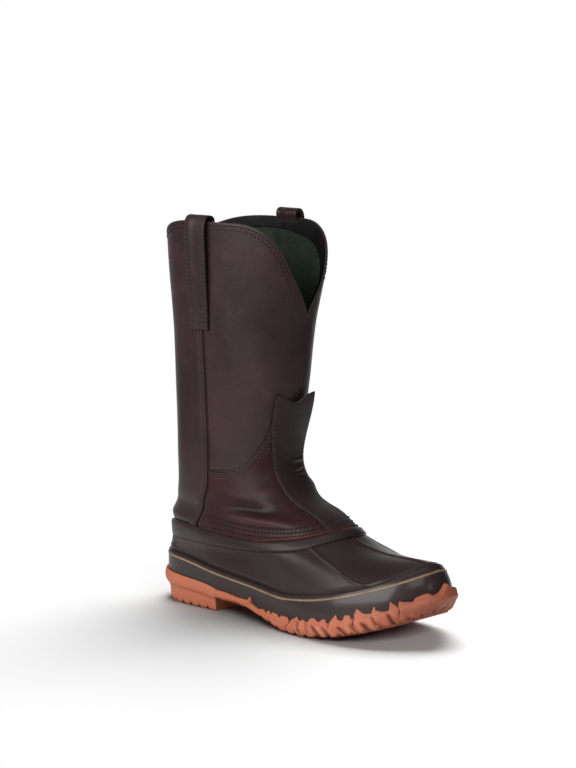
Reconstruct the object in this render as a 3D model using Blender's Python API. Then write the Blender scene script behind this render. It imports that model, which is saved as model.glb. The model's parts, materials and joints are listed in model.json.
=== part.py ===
"""Pull-on pac boot for the right foot: rubber bottom, leather shaft, two pull straps.

Metres, +Z up. The boot is modelled with the back of its heel at x = 0, its toe along +X, its outer side
at -Y and the floor at z = 0, and is then moved so that the middle of its footprint is the origin.
"""
import math

import bmesh
import bpy
import numpy as np
from mathutils import Matrix


def table(columns, *rows):
    """A short table of sizes, read by the names of its columns."""
    return dict(zip(columns.split(), np.array(rows, dtype=float).T))


# Driving dimensions of the sole
OUTER, INNER = -1, 1        # sides of the boot
LENGTH = 0.312
TIP_SIDE = 0.004            # the tip of the toe lies a little to the inner side
SOLE_PLAN = table(
    "x outer inner",
    (0.012, 0.0290, 0.0265),
    (0.045, 0.039, 0.037),
    (0.115, 0.0415, 0.0365),
    (0.165, 0.0515, 0.0425),
    (0.205, 0.058, 0.0525),
    (0.250, 0.054, 0.0545),
    (0.290, 0.034, 0.0395),
)
EDGE_LOW_X = 0.173          # where the upper edge of the sole is lowest
EDGE_LOW = 0.0135
EDGE_HEEL = 0.0266
EDGE_TOE = 0.049
SPRING_START = 0.195        # the forefoot lifts from here to the toe
SPRING = 0.0293
SPRING_POWER = 1.75
BREAST_X = 0.083            # front face of the heel block
BREAST_DRAFT = 0.0015
ARCH_HEIGHT = 0.0124
ARCH_START = 0.108
ARCH_END = 0.182
PLATE_HEEL = 0.0205         # height of the sole's upper face, inside its rim
PLATE_FOREFOOT = 0.009
HEEL_BACK_STATIONS = (0.0, 0.0005, 0.0018, 0.004)
HEEL_GROOVE_START = 0.009
HEEL_GROOVE_PITCH = 0.0105
HEEL_GROOVES = 7
HEEL_GROOVE_WIDTH = 0.004
HEEL_GROOVE_DEPTH = 0.002
HEEL_FLANGE = 0.0065        # height of the smooth flange above the heel block
LEDGE = 0.001
HEEL_LEDGE_INSET = 0.0022
HEEL_BASE_INSET = 0.0038
WAIST_STATIONS = (0.095, 0.127, 4)
LOBES_START = 0.135         # the chain tread runs from here round the toe
TREAD_FADE = 0.012
LOBES = 17
LOBE_PHASES = np.array([0.0, 0.22, 0.5, 0.78])
LOBE_OUT = 0.0008
LOBE_VALLEY = 0.0016
SPIKE_TALL = 0.0040
SPIKE_SHORT = 0.0010
SPIKE_VALLEY = 0.0028
LUG_DEPTH = 0.004
LUG_ZIGZAG = 0.0045
LUG_ACROSS = np.array([0.2, 0.4, 0.6, 0.8])
LUG_TURNS = np.array([1, -1, 1, -1])
LIP_TOP = 0.0014            # thickness of the rim's upper edge
FLANGE_SHARE = 0.55
LEDGE_SHARE = 0.25
SIDE_DRAFT = 0.002
TOE_START = 0.27
TOE_ROUND = 0.004

# Rubber shell
GAP = 0.0003                # between pieces that meet
SHELL_INSET = 0.003         # foxing wall, inwards from the sole's outline
SHELL_WALL = 0.0026
RIM_GAP = 0.0006
FOXING_STEP = 0.0018
FOXING_ABOVE_SOLE = 0.020   # upper edge of the foxing above the upper edge of the sole
STRIPE_ABOVE_SOLE = 0.0145
STRIPE_HEIGHT = 0.0022
STRIPE_OUT = 0.0007
SHELL_FORM = table(
    "x lean turn rim_x reach_low reach_high",
    (0.000, 0.0005, 4.0, 0.0090, 0.34, 0.34),
    (0.050, 0.0000, 0.0, 0.0445, 0.34, 0.34),
    (0.100, 0.0000, 0.0, 0.0840, 0.34, 0.34),
    (0.150, 0.0005, 10.0, 0.1175, 0.34, 0.34),
    (0.200, 0.0015, 26.0, 0.1445, 0.34, 0.32),
    (0.250, 0.0040, 53.0, 0.1660, 0.333, 0.310),
    (0.285, 0.0070, 85.0, 0.1820, 0.309, 0.325),
    (0.312, 0.0085, 84.0, 0.2000, 0.309, 0.325),
)
RIDGE_X = 0.268             # where the vamp's two ridges meet the foxing, on the sole's outline
RIDGE_HALF = 0.0035
RIDGE_HEIGHT = 0.0014
RIDGE_RISE = 0.1            # share of the vamp over which a ridge comes up
BAND = 0.009                # collar band of the shell
BAND_STEP = 0.0009
RIM = table(
    "angle height",
    (0, 0.0830),
    (25, 0.0807),
    (46, 0.0766),
    (63, 0.0733),
    (82, 0.0711),
    (102, 0.0720),
    (118, 0.0737),
    (130, 0.0737),
    (142, 0.0726),
    (155, 0.0706),
    (168, 0.0693),
    (180, 0.0688),
)

# Leather
LEATHER = 0.0022
OVERLAY = 0.0014
OVERLAY_GAP = 0.0006
STRIP_GAP = 0.0011          # the instep strip lies loosely on the vamp panel
TUCK = 0.007                # leather inside the rubber rim
SECTION_POWER = 2.25
SHAFT = table(
    "height back front half",
    (0.058, 0.0080, 0.2700, 0.0462),
    (0.070, 0.0080, 0.2210, 0.0450),
    (0.082, 0.0088, 0.2023, 0.0437),
    (0.092, 0.0113, 0.1854, 0.0431),
    (0.100, 0.0140, 0.1647, 0.0431),
    (0.112, 0.0164, 0.1481, 0.0433),
    (0.125, 0.0172, 0.1387, 0.0437),
    (0.140, 0.0175, 0.1360, 0.0442),
    (0.165, 0.0175, 0.1384, 0.0452),
    (0.200, 0.0165, 0.1445, 0.0470),
    (0.250, 0.0152, 0.1505, 0.0500),
    (0.300, 0.0108, 0.1600, 0.0534),
    (0.350, 0.0085, 0.1640, 0.0558),
)
FLARE = 0.0022              # the inner front of the collar is pulled open
FLARE_ANGLE = -48
FLARE_HEIGHTS = (0.255, 0.325)
COLLAR_TURN = -6.5          # the notch faces a little inwards
COLLAR_DROP = 0.0030        # the inner side of the collar is a little lower
COLLAR_DROPS = (10, 60)
COLLAR_RISES = (180, 225)
COLLAR = table(
    "angle height",
    (0, 0.2655),
    (16, 0.2868),
    (25.5, 0.3004),
    (38, 0.3222),
    (51.5, 0.3372),
    (63, 0.3430),
    (78, 0.3442),
    (110, 0.3442),
    (128, 0.3412),
    (142, 0.3362),
    (158, 0.3308),
    (180, 0.3282),
)
SEAM = table(
    "height angle",
    (0.070, 118.0),
    (0.094, 105.9),
    (0.108, 95.8),
    (0.130, 87.5),
    (0.155, 87.3),
    (0.190, 90.0),
    (0.255, 92.8),
)
SEAM_RADIUS = 0.0013
SEAM_TOP = 0.2475
VAMP_TOP = table(
    "angle height",
    (0, 0.1860),
    (15, 0.1855),
    (21, 0.1800),
    (26, 0.1697),
    (30.5, 0.1570),
    (37.5, 0.1460),
    (45, 0.1370),
    (54.5, 0.1306),
    (68.5, 0.1269),
    (90, 0.1262),
)
VAMP_SEAM_CLEARANCE = 2.6   # degrees between the vamp's rear edge and the piping
STRIP_TOP = 0.1955
STRIP_CORNER_OUT = 0.004    # its free upper corner stands off
STRIP_FREE = (0.172, 0.1955)
STRIP_EDGE = table(
    "height angle",
    (0.080, 22.5),
    (0.092, 21.7),
    (0.103, 22.6),
    (0.118, 22.8),
    (0.1385, 23.6),
    (0.157, 25.2),
    (0.184, 26.5),
    (0.196, 24.8),
)
WELT_HEIGHT = 0.0016
WELT_DEPTH = 0.0016
WELT_CLOSES_IN = (121, 145)  # behind the vamp panel the bead lies against the shaft
INSOLE_THICKNESS = 0.004
INSOLE_CLEARANCE = 0.0015
STRAP_ANGLES = {OUTER: 93.3, INNER: 89.0}
STRAP_WIDTH_ANGLE = 17.2
STRAP_THICKNESS = 0.0028
STRAP_PATH = table(
    "out height",
    (0.0020, 0.2500),
    (0.0020, 0.2625),
    (0.0022, 0.2800),
    (0.0026, 0.3000),
    (0.0032, 0.3180),
    (0.0038, 0.3330),
    (0.0040, 0.3405),
    (0.0030, 0.3452),
    (0.0002, 0.3477),
    (-0.0040, 0.3482),
    (-0.0080, 0.3468),
    (-0.0106, 0.3428),
    (-0.0110, 0.3370),
    (-0.0092, 0.3260),
    (-0.0064, 0.3120),
    (-0.0047, 0.2980),
    (-0.0045, 0.2840),
)

# Facets
SHARP_ANGLE = 35
OUTLINE_SAMPLES = 600
SHELL_COLUMNS = 30          # on each side, from heel to toe
COLUMN_CROWDING = 0.3
RIDGE_CLEAR = 1.6           # other columns keep this many half widths off a ridge
VAMP_ROWS = 25
VAMP_OUTER_ROWS = (5, 10, 15, 20)
VAMP_INNER_ROWS = (18, 12, 6)
SHAFT_COLUMNS = 46
SHAFT_OUTER_ROWS = (
    0, 0.035, 0.07, 0.105, 0.14, 0.176, 0.214, 0.252,
    0.295, 0.344, 0.414, 0.52, 0.66, 0.82, 1,
)
SHAFT_INNER_ROWS = (1, 0.82, 0.55, 0.3, 0.18, 0.1, 0.05, 0)
VAMP_PANEL_GRID = (33, 13)
STRIP_GRID = (7, 16)
ROW_CROWDING = 1.7          # rows lie closer at the bend of the instep
PIPING_POINTS = 16
STRAP_COLUMNS = 4

COLOURS = {
    "outsole": ((0.48, 0.14, 0.08), 0.6),
    "rubber": ((0.045, 0.035, 0.032), 0.4),
    "stripe": ((0.26, 0.17, 0.11), 0.5),
    "welt": ((0.14, 0.02, 0.016), 0.5),
    "leather": ((0.05, 0.026, 0.026), 0.45),
    "footbed": ((0.02, 0.03, 0.02), 0.9),
}


def spline(knots, values, at):
    """Natural cubic through the values at the knots, held at its end values outside them."""
    count = len(knots)
    step = np.diff(knots)
    slope = np.diff(values) / step
    system = np.eye(count)
    bend = np.zeros(count)
    for k in range(1, count - 1):
        system[k, k - 1:k + 2] = step[k - 1], 2 * (step[k - 1] + step[k]), step[k]
        bend[k] = 6 * (slope[k] - slope[k - 1])
    second = np.linalg.solve(system, bend)
    at = np.clip(at, knots[0], knots[-1])
    k = np.clip(np.searchsorted(knots, at) - 1, 0, count - 2)
    right = at - knots[k]
    left = knots[k + 1] - at
    cubic = (second[k] * left ** 3 + second[k + 1] * right ** 3) / (6 * step[k])
    return (cubic + (values[k] / step[k] - second[k] * step[k] / 6) * left
            + (values[k + 1] / step[k] - second[k + 1] * step[k] / 6) * right)


def read(columns, key, name, at):
    """One column of a table as a smooth function of another."""
    return spline(columns[key], columns[name], at)


def blend(start, end, at):
    """Smooth step from 0 at start to 1 at end."""
    t = np.clip((at - start) / (end - start), 0, 1)
    return t * t * (3 - 2 * t)


def unit(vectors):
    return vectors / np.linalg.norm(vectors, axis=-1, keepdims=True)


def outline_halves():
    """Halves of the sole's outline from heel to toe: share of the length, points and outward normals."""
    outer = np.column_stack([SOLE_PLAN["x"], -SOLE_PLAN["outer"]])
    inner = np.column_stack([SOLE_PLAN["x"], SOLE_PLAN["inner"]])
    turns = np.vstack([[(0, 0)], outer, [(LENGTH, TIP_SIDE)], inner[::-1]])
    twice = np.vstack([turns, turns, turns[:1]])
    knots = np.concatenate([[0], np.cumsum(np.linalg.norm(np.diff(twice, axis=0), axis=1) ** 0.5)])
    half = len(turns) // 2
    tip_before, heel, tip_after = knots[[half, 2 * half, 3 * half]]
    halves = {}
    for side, tip in ((OUTER, tip_after), (INNER, tip_before)):
        at = np.linspace(heel, tip, OUTLINE_SAMPLES)
        points = np.column_stack([spline(knots, twice[:, axis], at) for axis in (0, 1)])
        along = unit(np.gradient(points, axis=0))
        normals = side * np.column_stack([-along[:, 1], along[:, 0]])
        run = np.concatenate([[0], np.cumsum(np.linalg.norm(np.diff(points, axis=0), axis=1))])
        halves[side] = run, points, normals
    return halves


OUTLINE = outline_halves()


def outline(side, share, inset=0.0):
    """Points and normals of the outline at a share of the way from heel to toe."""
    run, points, normals = OUTLINE[side]
    at = share * run[-1]
    point = np.column_stack([np.interp(at, run, points[:, axis]) for axis in (0, 1)])
    normal = unit(np.column_stack([np.interp(at, run, normals[:, axis]) for axis in (0, 1)]))
    return point - normal * np.broadcast_to(inset, np.shape(share))[:, None], normal


def share_at(side, x):
    """Share of the way along the outline where it passes a distance from the heel."""
    run, points, _ = OUTLINE[side]
    return np.interp(x, points[:, 0], run) / run[-1]


def edge_height(x):
    """Upper edge of the sole along the boot: high at the heel, low at the waist, wrapped up at the toe."""
    rear = np.clip((EDGE_LOW_X - x) / EDGE_LOW_X, 0, 1)
    fore = np.clip((x - EDGE_LOW_X) / (LENGTH - EDGE_LOW_X), 0, 1)
    return EDGE_LOW + (EDGE_HEEL - EDGE_LOW) * rear + (EDGE_TOE - EDGE_LOW) * fore ** SPRING_POWER


def spring_height(x):
    """Lift of the forefoot towards the toe."""
    return SPRING * np.clip((x - SPRING_START) / (LENGTH - SPRING_START), 0, 1) ** SPRING_POWER


def under_height(x):
    """Underside of the sole: flat heel block, arch, flat ball, toe spring."""
    arch = ARCH_HEIGHT * (1 - blend(ARCH_START, ARCH_END, x))
    return np.where(x < BREAST_X + BREAST_DRAFT / 2, 0.0, arch + spring_height(x))


def plate_height(x):
    """Upper face of the sole inside its rim, where the shell and the footbed stand."""
    return PLATE_HEEL + (PLATE_FOREFOOT - PLATE_HEEL) * blend(0.0, EDGE_LOW_X, x) + spring_height(x)


def foxing_wall(side, share, height, out=0.0):
    """Outer face of the shell's foxing: upright at heel and waist, leaning back over the toe."""
    foot, normal = outline(side, share, SHELL_INSET)
    low = plate_height(foot[:, 0])
    rise = np.maximum(height - low, 0) / (edge_height(foot[:, 0]) + FOXING_ABOVE_SOLE - low)
    lean = read(SHELL_FORM, "x", "lean", foot[:, 0]) * rise
    return np.column_stack([foot + normal * (out - lean)[:, None], height])


def shaft_point(angle, height):
    """Outer face of the leather: rounded oval sections; angle 0 is the front, 90 the outer side."""
    back, front, half = (read(SHAFT, "height", name, height) for name in ("back", "front", "half"))
    cosine = np.cos(np.radians(angle))
    sine = np.sin(np.radians(angle))
    radius = (np.abs(cosine) ** SECTION_POWER + np.abs(sine) ** SECTION_POWER) ** (-1 / SECTION_POWER)
    facing = np.clip(np.cos(np.radians(angle - FLARE_ANGLE)), 0, 1) ** 2
    flare = FLARE * blend(*FLARE_HEIGHTS, height) * facing
    flare_way = math.radians(FLARE_ANGLE)
    x = (back + front) / 2 + (front - back) / 2 * cosine * radius + flare * math.cos(flare_way)
    y = -half * sine * radius - flare * math.sin(flare_way)
    return np.stack([x, y, np.broadcast_to(height, x.shape)], axis=-1)


def shaft_slopes(angle, height):
    """Unit direction up the leather and its outward normal."""
    rise = 1e-4
    turn = 0.1
    up = unit(shaft_point(angle, height + rise) - shaft_point(angle, height - rise))
    across = shaft_point(angle - turn, height) - shaft_point(angle + turn, height)
    return up, unit(np.cross(across, up))


def on_shaft(angle, height, out):
    """Point at a distance from the leather's outer face, along its normal."""
    angle, height, out = np.broadcast_arrays(angle, height, out)
    _, normal = shaft_slopes(angle, height)
    return shaft_point(angle, height) + normal * out[..., None]


def rim_height(angle):
    """Upper edge of the rubber round the leather."""
    return read(RIM, "angle", "height", np.abs(angle))


def collar_height(angle):
    """Upper edge of the leather, with its V notch."""
    turned = np.abs((angle - COLLAR_TURN + 180) % 360 - 180)
    inwards = -angle % 360
    drop = COLLAR_DROP * blend(*COLLAR_DROPS, inwards) * (1 - blend(*COLLAR_RISES, inwards))
    return read(COLLAR, "angle", "height", turned) - drop


def shell_shares(side):
    """Columns of the shell on one side, closer at heel and toe, three of them on the vamp's ridge."""
    even = np.linspace(0, 1, SHELL_COLUMNS + 1)
    shares = even - COLUMN_CROWDING * np.sin(2 * np.pi * even) / (2 * np.pi)
    ridge = share_at(side, RIDGE_X)
    width = RIDGE_HALF / OUTLINE[side][0][-1]
    clear = np.abs(shares - ridge) > RIDGE_CLEAR * width
    return np.sort(np.concatenate([shares[clear], ridge + width * np.array([-1, 0, 1])]))


def round_ring(function):
    """Join what a function gives for the columns of both sides into one ring: heel, outside, toe, inside."""
    outer = function(OUTER, shell_shares(OUTER))
    inner = function(INNER, shell_shares(INNER))
    return np.concatenate([outer, inner[-2:0:-1]])


def wall_ring(height_of, out):
    """Ring on the foxing wall at a height that depends on the distance from the heel."""
    def half_ring(side, share):
        x = outline(side, share, SHELL_INSET)[0][:, 0]
        return foxing_wall(side, share, height_of(x), np.full(len(share), out))
    return round_ring(half_ring)


def rim_angles():
    """Angle on the leather's rim that each column of the shell runs up to."""
    def half_ring(side, share):
        rim_x = read(SHELL_FORM, "x", "rim_x", outline(side, share)[0][:, 0])
        back, front = SHELL_FORM["rim_x"][[0, -1]]
        along = np.clip((2 * rim_x - back - front) / (front - back), -1, 1)
        across = (1 - np.abs(along) ** SECTION_POWER) ** (1 / SECTION_POWER)
        return -side * np.degrees(np.arctan2(across, along))
    return round_ring(half_ring)


def vamp_rings(angles):
    """Rings of the shell between foxing and collar band, with their normals.

    Each column is a cubic that leaves the foxing at its own turn from the vertical and ends along the leather.
    """
    def form(name):
        return round_ring(lambda side, share: read(
            SHELL_FORM, "x", name, outline(side, share, SHELL_INSET)[0][:, 0]))[:, None]

    foxing = wall_ring(foxing_height, -FOXING_STEP)
    high = rim_height(angles) - BAND
    collar = on_shaft(angles, high, RIM_GAP + SHELL_WALL)
    up, _ = shaft_slopes(angles, high)
    inwards = unit((collar - foxing) * np.array([1, 1, 0]))
    turn = np.radians(form("turn"))
    start = inwards * np.sin(turn) + np.array([0, 0, 1]) * np.cos(turn)
    span = np.linalg.norm(collar - foxing, axis=1)[:, None]
    low_handle = foxing + start * span * form("reach_low")
    high_handle = collar - up * span * form("reach_high")
    t = np.linspace(0, 1, VAMP_ROWS)[:, None, None]
    rings = ((1 - t) ** 3 * foxing + 3 * t * (1 - t) ** 2 * low_handle
             + 3 * t * t * (1 - t) * high_handle + t ** 3 * collar)
    around = np.roll(rings, -1, axis=1) - np.roll(rings, 1, axis=1)
    return rings, unit(np.cross(around, np.gradient(rings, axis=0)))


def foxing_height(x):
    """Upper edge of the foxing."""
    return edge_height(x) + FOXING_ABOVE_SOLE


def new_object(name, vertices, faces, colour):
    """Object with a closed mesh of the given points and faces, smooth but for its sharp edges."""
    shape = bmesh.new()
    corners = [shape.verts.new(point) for point in vertices]
    for face in faces:
        shape.faces.new([corners[k] for k in dict.fromkeys(face)])
    bmesh.ops.recalc_face_normals(shape, faces=shape.faces)
    mesh = bpy.data.meshes.new(name)
    shape.to_mesh(mesh)
    shape.free()
    mesh.shade_smooth()
    mesh.set_sharp_from_angle(angle=math.radians(SHARP_ANGLE))
    mesh.materials.append(MATERIALS[colour])
    part = bpy.data.objects.new(name, mesh)
    bpy.context.scene.collection.objects.link(part)
    return part


def band_faces(first, second, closed):
    """Quads between two rows of vertex numbers."""
    pairs = list(zip(first, second))
    ahead = pairs[1:] + pairs[:1] if closed else pairs[1:]
    return [(a, c, d, b) for (a, b), (c, d) in zip(pairs, ahead)]


def ring_solid(name, rings, colour):
    """Hollow ring: each ring is joined to the next, and the last back to the first."""
    number = np.arange(len(rings) * len(rings[0])).reshape(len(rings), -1)
    faces = []
    for k in range(len(rings)):
        faces += band_faces(number[k], number[(k + 1) % len(rings)], closed=True)
    return new_object(name, np.concatenate(rings), faces, colour)


def slab_solid(name, under, over, colour):
    """Curved plate between two grids of points of the same size."""
    number = np.arange(under[..., 0].size * 2).reshape(2, *under.shape[:2])
    faces = []
    for layer in number:
        for row, ahead in zip(layer, layer[1:]):
            faces += band_faces(row, ahead, closed=False)
    for edge in (number[:, 0, :], number[:, -1, :], number[:, :, 0], number[:, :, -1]):
        faces += band_faces(edge[0], edge[1], closed=False)
    return new_object(name, np.concatenate([under.reshape(-1, 3), over.reshape(-1, 3)]), faces, colour)


def sole_stations():
    """Stations of the sole from heel to toe: shares on each side, tread cut, spike height, lobe valley."""
    cuts = HEEL_GROOVE_START + HEEL_GROOVE_PITCH * np.arange(HEEL_GROOVES)
    lands = cuts[:, None] + HEEL_GROOVE_WIDTH / 2 * np.array([-1, 0, 1])
    rear_x = np.concatenate([HEEL_BACK_STATIONS, lands.ravel(),
                             [BREAST_X, BREAST_X + BREAST_DRAFT], np.linspace(*WAIST_STATIONS)])
    rear_cut = np.where(np.isin(rear_x, cuts), HEEL_GROOVE_DEPTH, 0.0)
    lobe = np.arange(LOBES)
    fore = np.append((lobe[:, None] + LOBE_PHASES).ravel(), LOBES) / LOBES
    none = np.zeros(LOBES)
    tall = np.where(lobe % 2, SPIKE_SHORT, SPIKE_TALL)
    spike = np.append(np.column_stack([none - SPIKE_VALLEY, none, tall, none]).ravel(), -SPIKE_VALLEY)
    valley = np.append(np.column_stack([none + 1, none, none, none]).ravel(), 1)
    shares = {}
    for side in (OUTER, INNER):
        start = share_at(side, LOBES_START)
        shares[side] = np.concatenate([share_at(side, rear_x), start + (1 - start) * fore])
    smooth = np.zeros(len(rear_x))
    return (shares, np.concatenate([rear_cut, valley * LUG_DEPTH]),
            np.concatenate([smooth, spike]), np.concatenate([smooth, valley]), len(rear_x))


def sole_side(side, share, cut, spike, valley, rear):
    """Rows of the sole's side on one half, from the foot of its rim over its upper edge to the underside."""
    x = outline(side, share)[0][:, 0]
    heel = x < BREAST_X + BREAST_DRAFT / 2
    tread = np.where(np.arange(len(x)) < rear, 1.0, tread_growth(x))
    lobed = np.where(np.arange(len(x)) < rear, 0.0, tread)
    top = edge_height(x) + spike * lobed
    under = under_height(x)
    bottom = under + cut * tread
    bulge = (LOBE_OUT - (LOBE_OUT + LOBE_VALLEY) * valley) * lobed
    flange = np.where(heel, top - HEEL_FLANGE, under + FLANGE_SHARE * (top - under))
    low = np.maximum(under + LEDGE_SHARE * (top - under), bottom + LEDGE)
    ledge = np.where(heel, flange - LEDGE, low)
    ledge_inset = np.where(heel, HEEL_LEDGE_INSET, 0.0)
    base_inset = np.where(heel, HEEL_BASE_INSET, SIDE_DRAFT + TOE_ROUND * blend(TOE_START, LENGTH, x))
    gap = np.full(len(x), GAP)
    foot_x = outline(side, share, SHELL_INSET)[0][:, 0]
    return [
        foxing_wall(side, share, plate_height(foot_x), gap),
        foxing_wall(side, share, top, gap),
        foxing_wall(side, share, top, gap + LIP_TOP),
        np.column_stack([outline(side, share, -bulge)[0], flange]),
        np.column_stack([outline(side, share, ledge_inset - bulge)[0], ledge]),
        np.column_stack([outline(side, share, base_inset - bulge)[0], bottom]),
    ]


def tread_growth(x):
    """The chain tread comes up to its full depth over the first lobes."""
    return blend(LOBES_START - TREAD_FADE, LOBES_START + TREAD_FADE, x)


def build_outsole():
    """Sole with a rim round the shell, grooved heel block, arch, and zigzag lugs that end in side lobes."""
    shares, cut, spike, valley, rear = sole_stations()
    halves = [sole_side(side, shares[side], cut, spike, valley, rear) for side in (OUTER, INNER)]
    rings = [np.concatenate([outer, inner[-2:0:-1]]) for outer, inner in zip(*halves)]
    number = np.arange(len(rings) * len(rings[0])).reshape(len(rings), -1)
    faces = []
    for row, ahead in zip(number, number[1:]):
        faces += band_faces(row, ahead, closed=True)

    stations = np.arange(len(cut))
    opposite = -stations % len(rings[0])
    plate = [(number[0, k], number[0, j]) for k, j in zip(stations, opposite)]
    for row, ahead in zip(plate, plate[1:]):
        faces += band_faces(row, ahead, closed=False)

    outer, inner = rings[-1][stations], rings[-1][opposite]
    floor = outer[:, None] + (inner - outer)[:, None] * LUG_ACROSS[:, None]
    fade = tread_growth(floor[..., 0]) * (1 - blend(TOE_START, LENGTH, floor[..., 0]))
    floor[..., 0] += LUG_ZIGZAG * LUG_TURNS * fade
    tread = np.where(stations[:, None] < rear, 1.0, tread_growth(floor[..., 0]))
    floor[..., 2] = under_height(floor[..., 0]) + cut[:, None] * tread
    inside = number.size + np.arange(floor[..., 0].size).reshape(floor.shape[:2])
    inside[[0, -1]] = number[-1, [0, stations[-1]]][:, None]
    lines = np.column_stack([number[-1, stations], inside, number[-1, opposite]])
    for row, ahead in zip(lines, lines[1:]):
        faces += band_faces(row, ahead, closed=False)
    faces = [face for face in faces if len(set(face)) > 2]
    part = new_object("outsole", np.concatenate([*rings, floor.reshape(-1, 3)]), faces, "outsole")
    drop_loose_points(part)
    return part


def drop_loose_points(part):
    """Remove the points that no face uses."""
    shape = bmesh.new()
    shape.from_mesh(part.data)
    bmesh.ops.delete(shape, geom=[v for v in shape.verts if not v.link_faces], context="VERTS")
    shape.to_mesh(part.data)
    shape.free()


def build_shell():
    """Rubber bottom: foxing wall with its step, domed vamp with two ridges, collar band round the leather."""
    angles = rim_angles()
    rings, normals = vamp_rings(angles)
    ridge = round_ring(lambda side, share: np.isclose(share, share_at(side, RIDGE_X)))
    height = RIDGE_HEIGHT * blend(0, RIDGE_RISE, np.linspace(0, 1, VAMP_ROWS))[:, None] * ridge
    outer = rings + normals * height[..., None]
    inner = rings - normals * SHELL_WALL
    rim = rim_height(angles)
    thick = -FOXING_STEP - SHELL_WALL
    solid = [
        wall_ring(lambda x: plate_height(x) + GAP, 0.0),
        wall_ring(edge_height, 0.0),
        wall_ring(foxing_height, 0.0),
        *outer[[1, *VAMP_OUTER_ROWS, -1]],
        on_shaft(angles, rim - BAND + BAND_STEP, RIM_GAP + SHELL_WALL + BAND_STEP),
        on_shaft(angles, rim, RIM_GAP + SHELL_WALL + BAND_STEP / 2),
        on_shaft(angles, rim, RIM_GAP),
        *inner[[-1, *VAMP_INNER_ROWS, 1]],
        wall_ring(edge_height, thick),
        wall_ring(lambda x: plate_height(x) + GAP, thick),
    ]
    ring_solid("rubber_shell", solid, "rubber")


def build_stripe():
    """Thin line of tan rubber round the foxing."""
    low = STRIPE_ABOVE_SOLE - STRIPE_HEIGHT / 2
    high = STRIPE_ABOVE_SOLE + STRIPE_HEIGHT / 2
    corners = ((low, GAP), (low, GAP + STRIPE_OUT), (high, GAP + STRIPE_OUT), (high, GAP))
    rings = [wall_ring(lambda x, lift=lift: edge_height(x) + lift, out) for lift, out in corners]
    ring_solid("foxing_stripe", rings, "stripe")


def build_welt():
    """Red bead that lies on the rubber rim against the leather, outside the vamp panel in front."""
    angles = rim_angles()
    low = rim_height(angles) + OVERLAY_GAP
    back = blend(*WELT_CLOSES_IN, np.abs(angles))
    near = OVERLAY_GAP + (OVERLAY + OVERLAY_GAP) * (1 - back)
    rings = [
        on_shaft(angles, low, near),
        on_shaft(angles, low, near + WELT_DEPTH),
        on_shaft(angles, low + WELT_HEIGHT, near + WELT_DEPTH),
        on_shaft(angles, low + WELT_HEIGHT, near),
    ]
    ring_solid("red_welt", rings, "welt")


def build_insole():
    """Footbed inside the shell, on the sole's upper face."""
    out = -FOXING_STEP - SHELL_WALL - INSOLE_CLEARANCE
    low = wall_ring(lambda x: plate_height(x) + 2 * GAP, out)
    high = wall_ring(lambda x: plate_height(x) + 2 * GAP + INSOLE_THICKNESS, out)
    number = np.arange(2 * len(low)).reshape(2, -1)
    faces = band_faces(number[0], number[1], closed=True)
    half = len(shell_shares(OUTER))
    for ring in number:
        lines = [(ring[k], ring[-k]) for k in range(half)]
        for row, ahead in zip(lines, lines[1:]):
            faces += band_faces(row, ahead, closed=False)
    faces = [face for face in faces if len(set(face)) > 2]
    new_object("insole", np.concatenate([low, high]), faces, "footbed")


def build_shaft():
    """Leather leg: one hollow wall from inside the rubber rim up to the notched collar."""
    angles = np.linspace(-180, 180, SHAFT_COLUMNS, endpoint=False)
    low = rim_height(angles) - TUCK
    high = collar_height(angles)
    rings = [on_shaft(angles, low + share * (high - low), 0.0) for share in SHAFT_OUTER_ROWS]
    rings += [on_shaft(angles, low + share * (high - low), -LEATHER) for share in SHAFT_INNER_ROWS]
    ring_solid("shaft", rings, "leather")


def build_vamp_panel():
    """Second layer of leather over the front of the ankle, between the side seams."""
    across = np.linspace(-1, 1, VAMP_PANEL_GRID[0])
    up = np.linspace(0, 1, VAMP_PANEL_GRID[1])[:, None] ** ROW_CROWDING
    seam_low, seam_high = rim_height(SEAM["angle"][0]), VAMP_TOP["height"][-1]
    edge = read(SEAM, "height", "angle", seam_low + up * (seam_high - seam_low)) - VAMP_SEAM_CLEARANCE
    angle = across * edge
    low = rim_height(angle) + 2 * OVERLAY_GAP
    height = low + up * (read(VAMP_TOP, "angle", "height", np.abs(angle)) - low)
    under = on_shaft(angle, height, OVERLAY_GAP)
    over = on_shaft(angle, height, OVERLAY_GAP + OVERLAY)
    slab_solid("vamp_panel", under, over, "leather")


def build_instep_strip():
    """Narrow strip up the front over the vamp panel, its upper end free and standing off at one corner."""
    across = np.linspace(-1, 1, STRIP_GRID[0])
    up = np.linspace(0, 1, STRIP_GRID[1])[:, None] ** ROW_CROWDING
    low = RIM["height"][0] + WELT_HEIGHT + 3 * OVERLAY_GAP
    height = low + up * (STRIP_TOP - low)
    angle = across * read(STRIP_EDGE, "height", "angle", height)
    height = height - (RIM["height"][0] - rim_height(angle)) * (1 - up) ** 2
    near = OVERLAY_GAP + OVERLAY + STRIP_GAP
    free = STRIP_CORNER_OUT * blend(*STRIP_FREE, height) * (1 - across) / 2
    under = on_shaft(angle, height, near + free)
    over = on_shaft(angle, height, near + OVERLAY + free)
    slab_solid("instep_strip", under, over, "leather")


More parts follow.
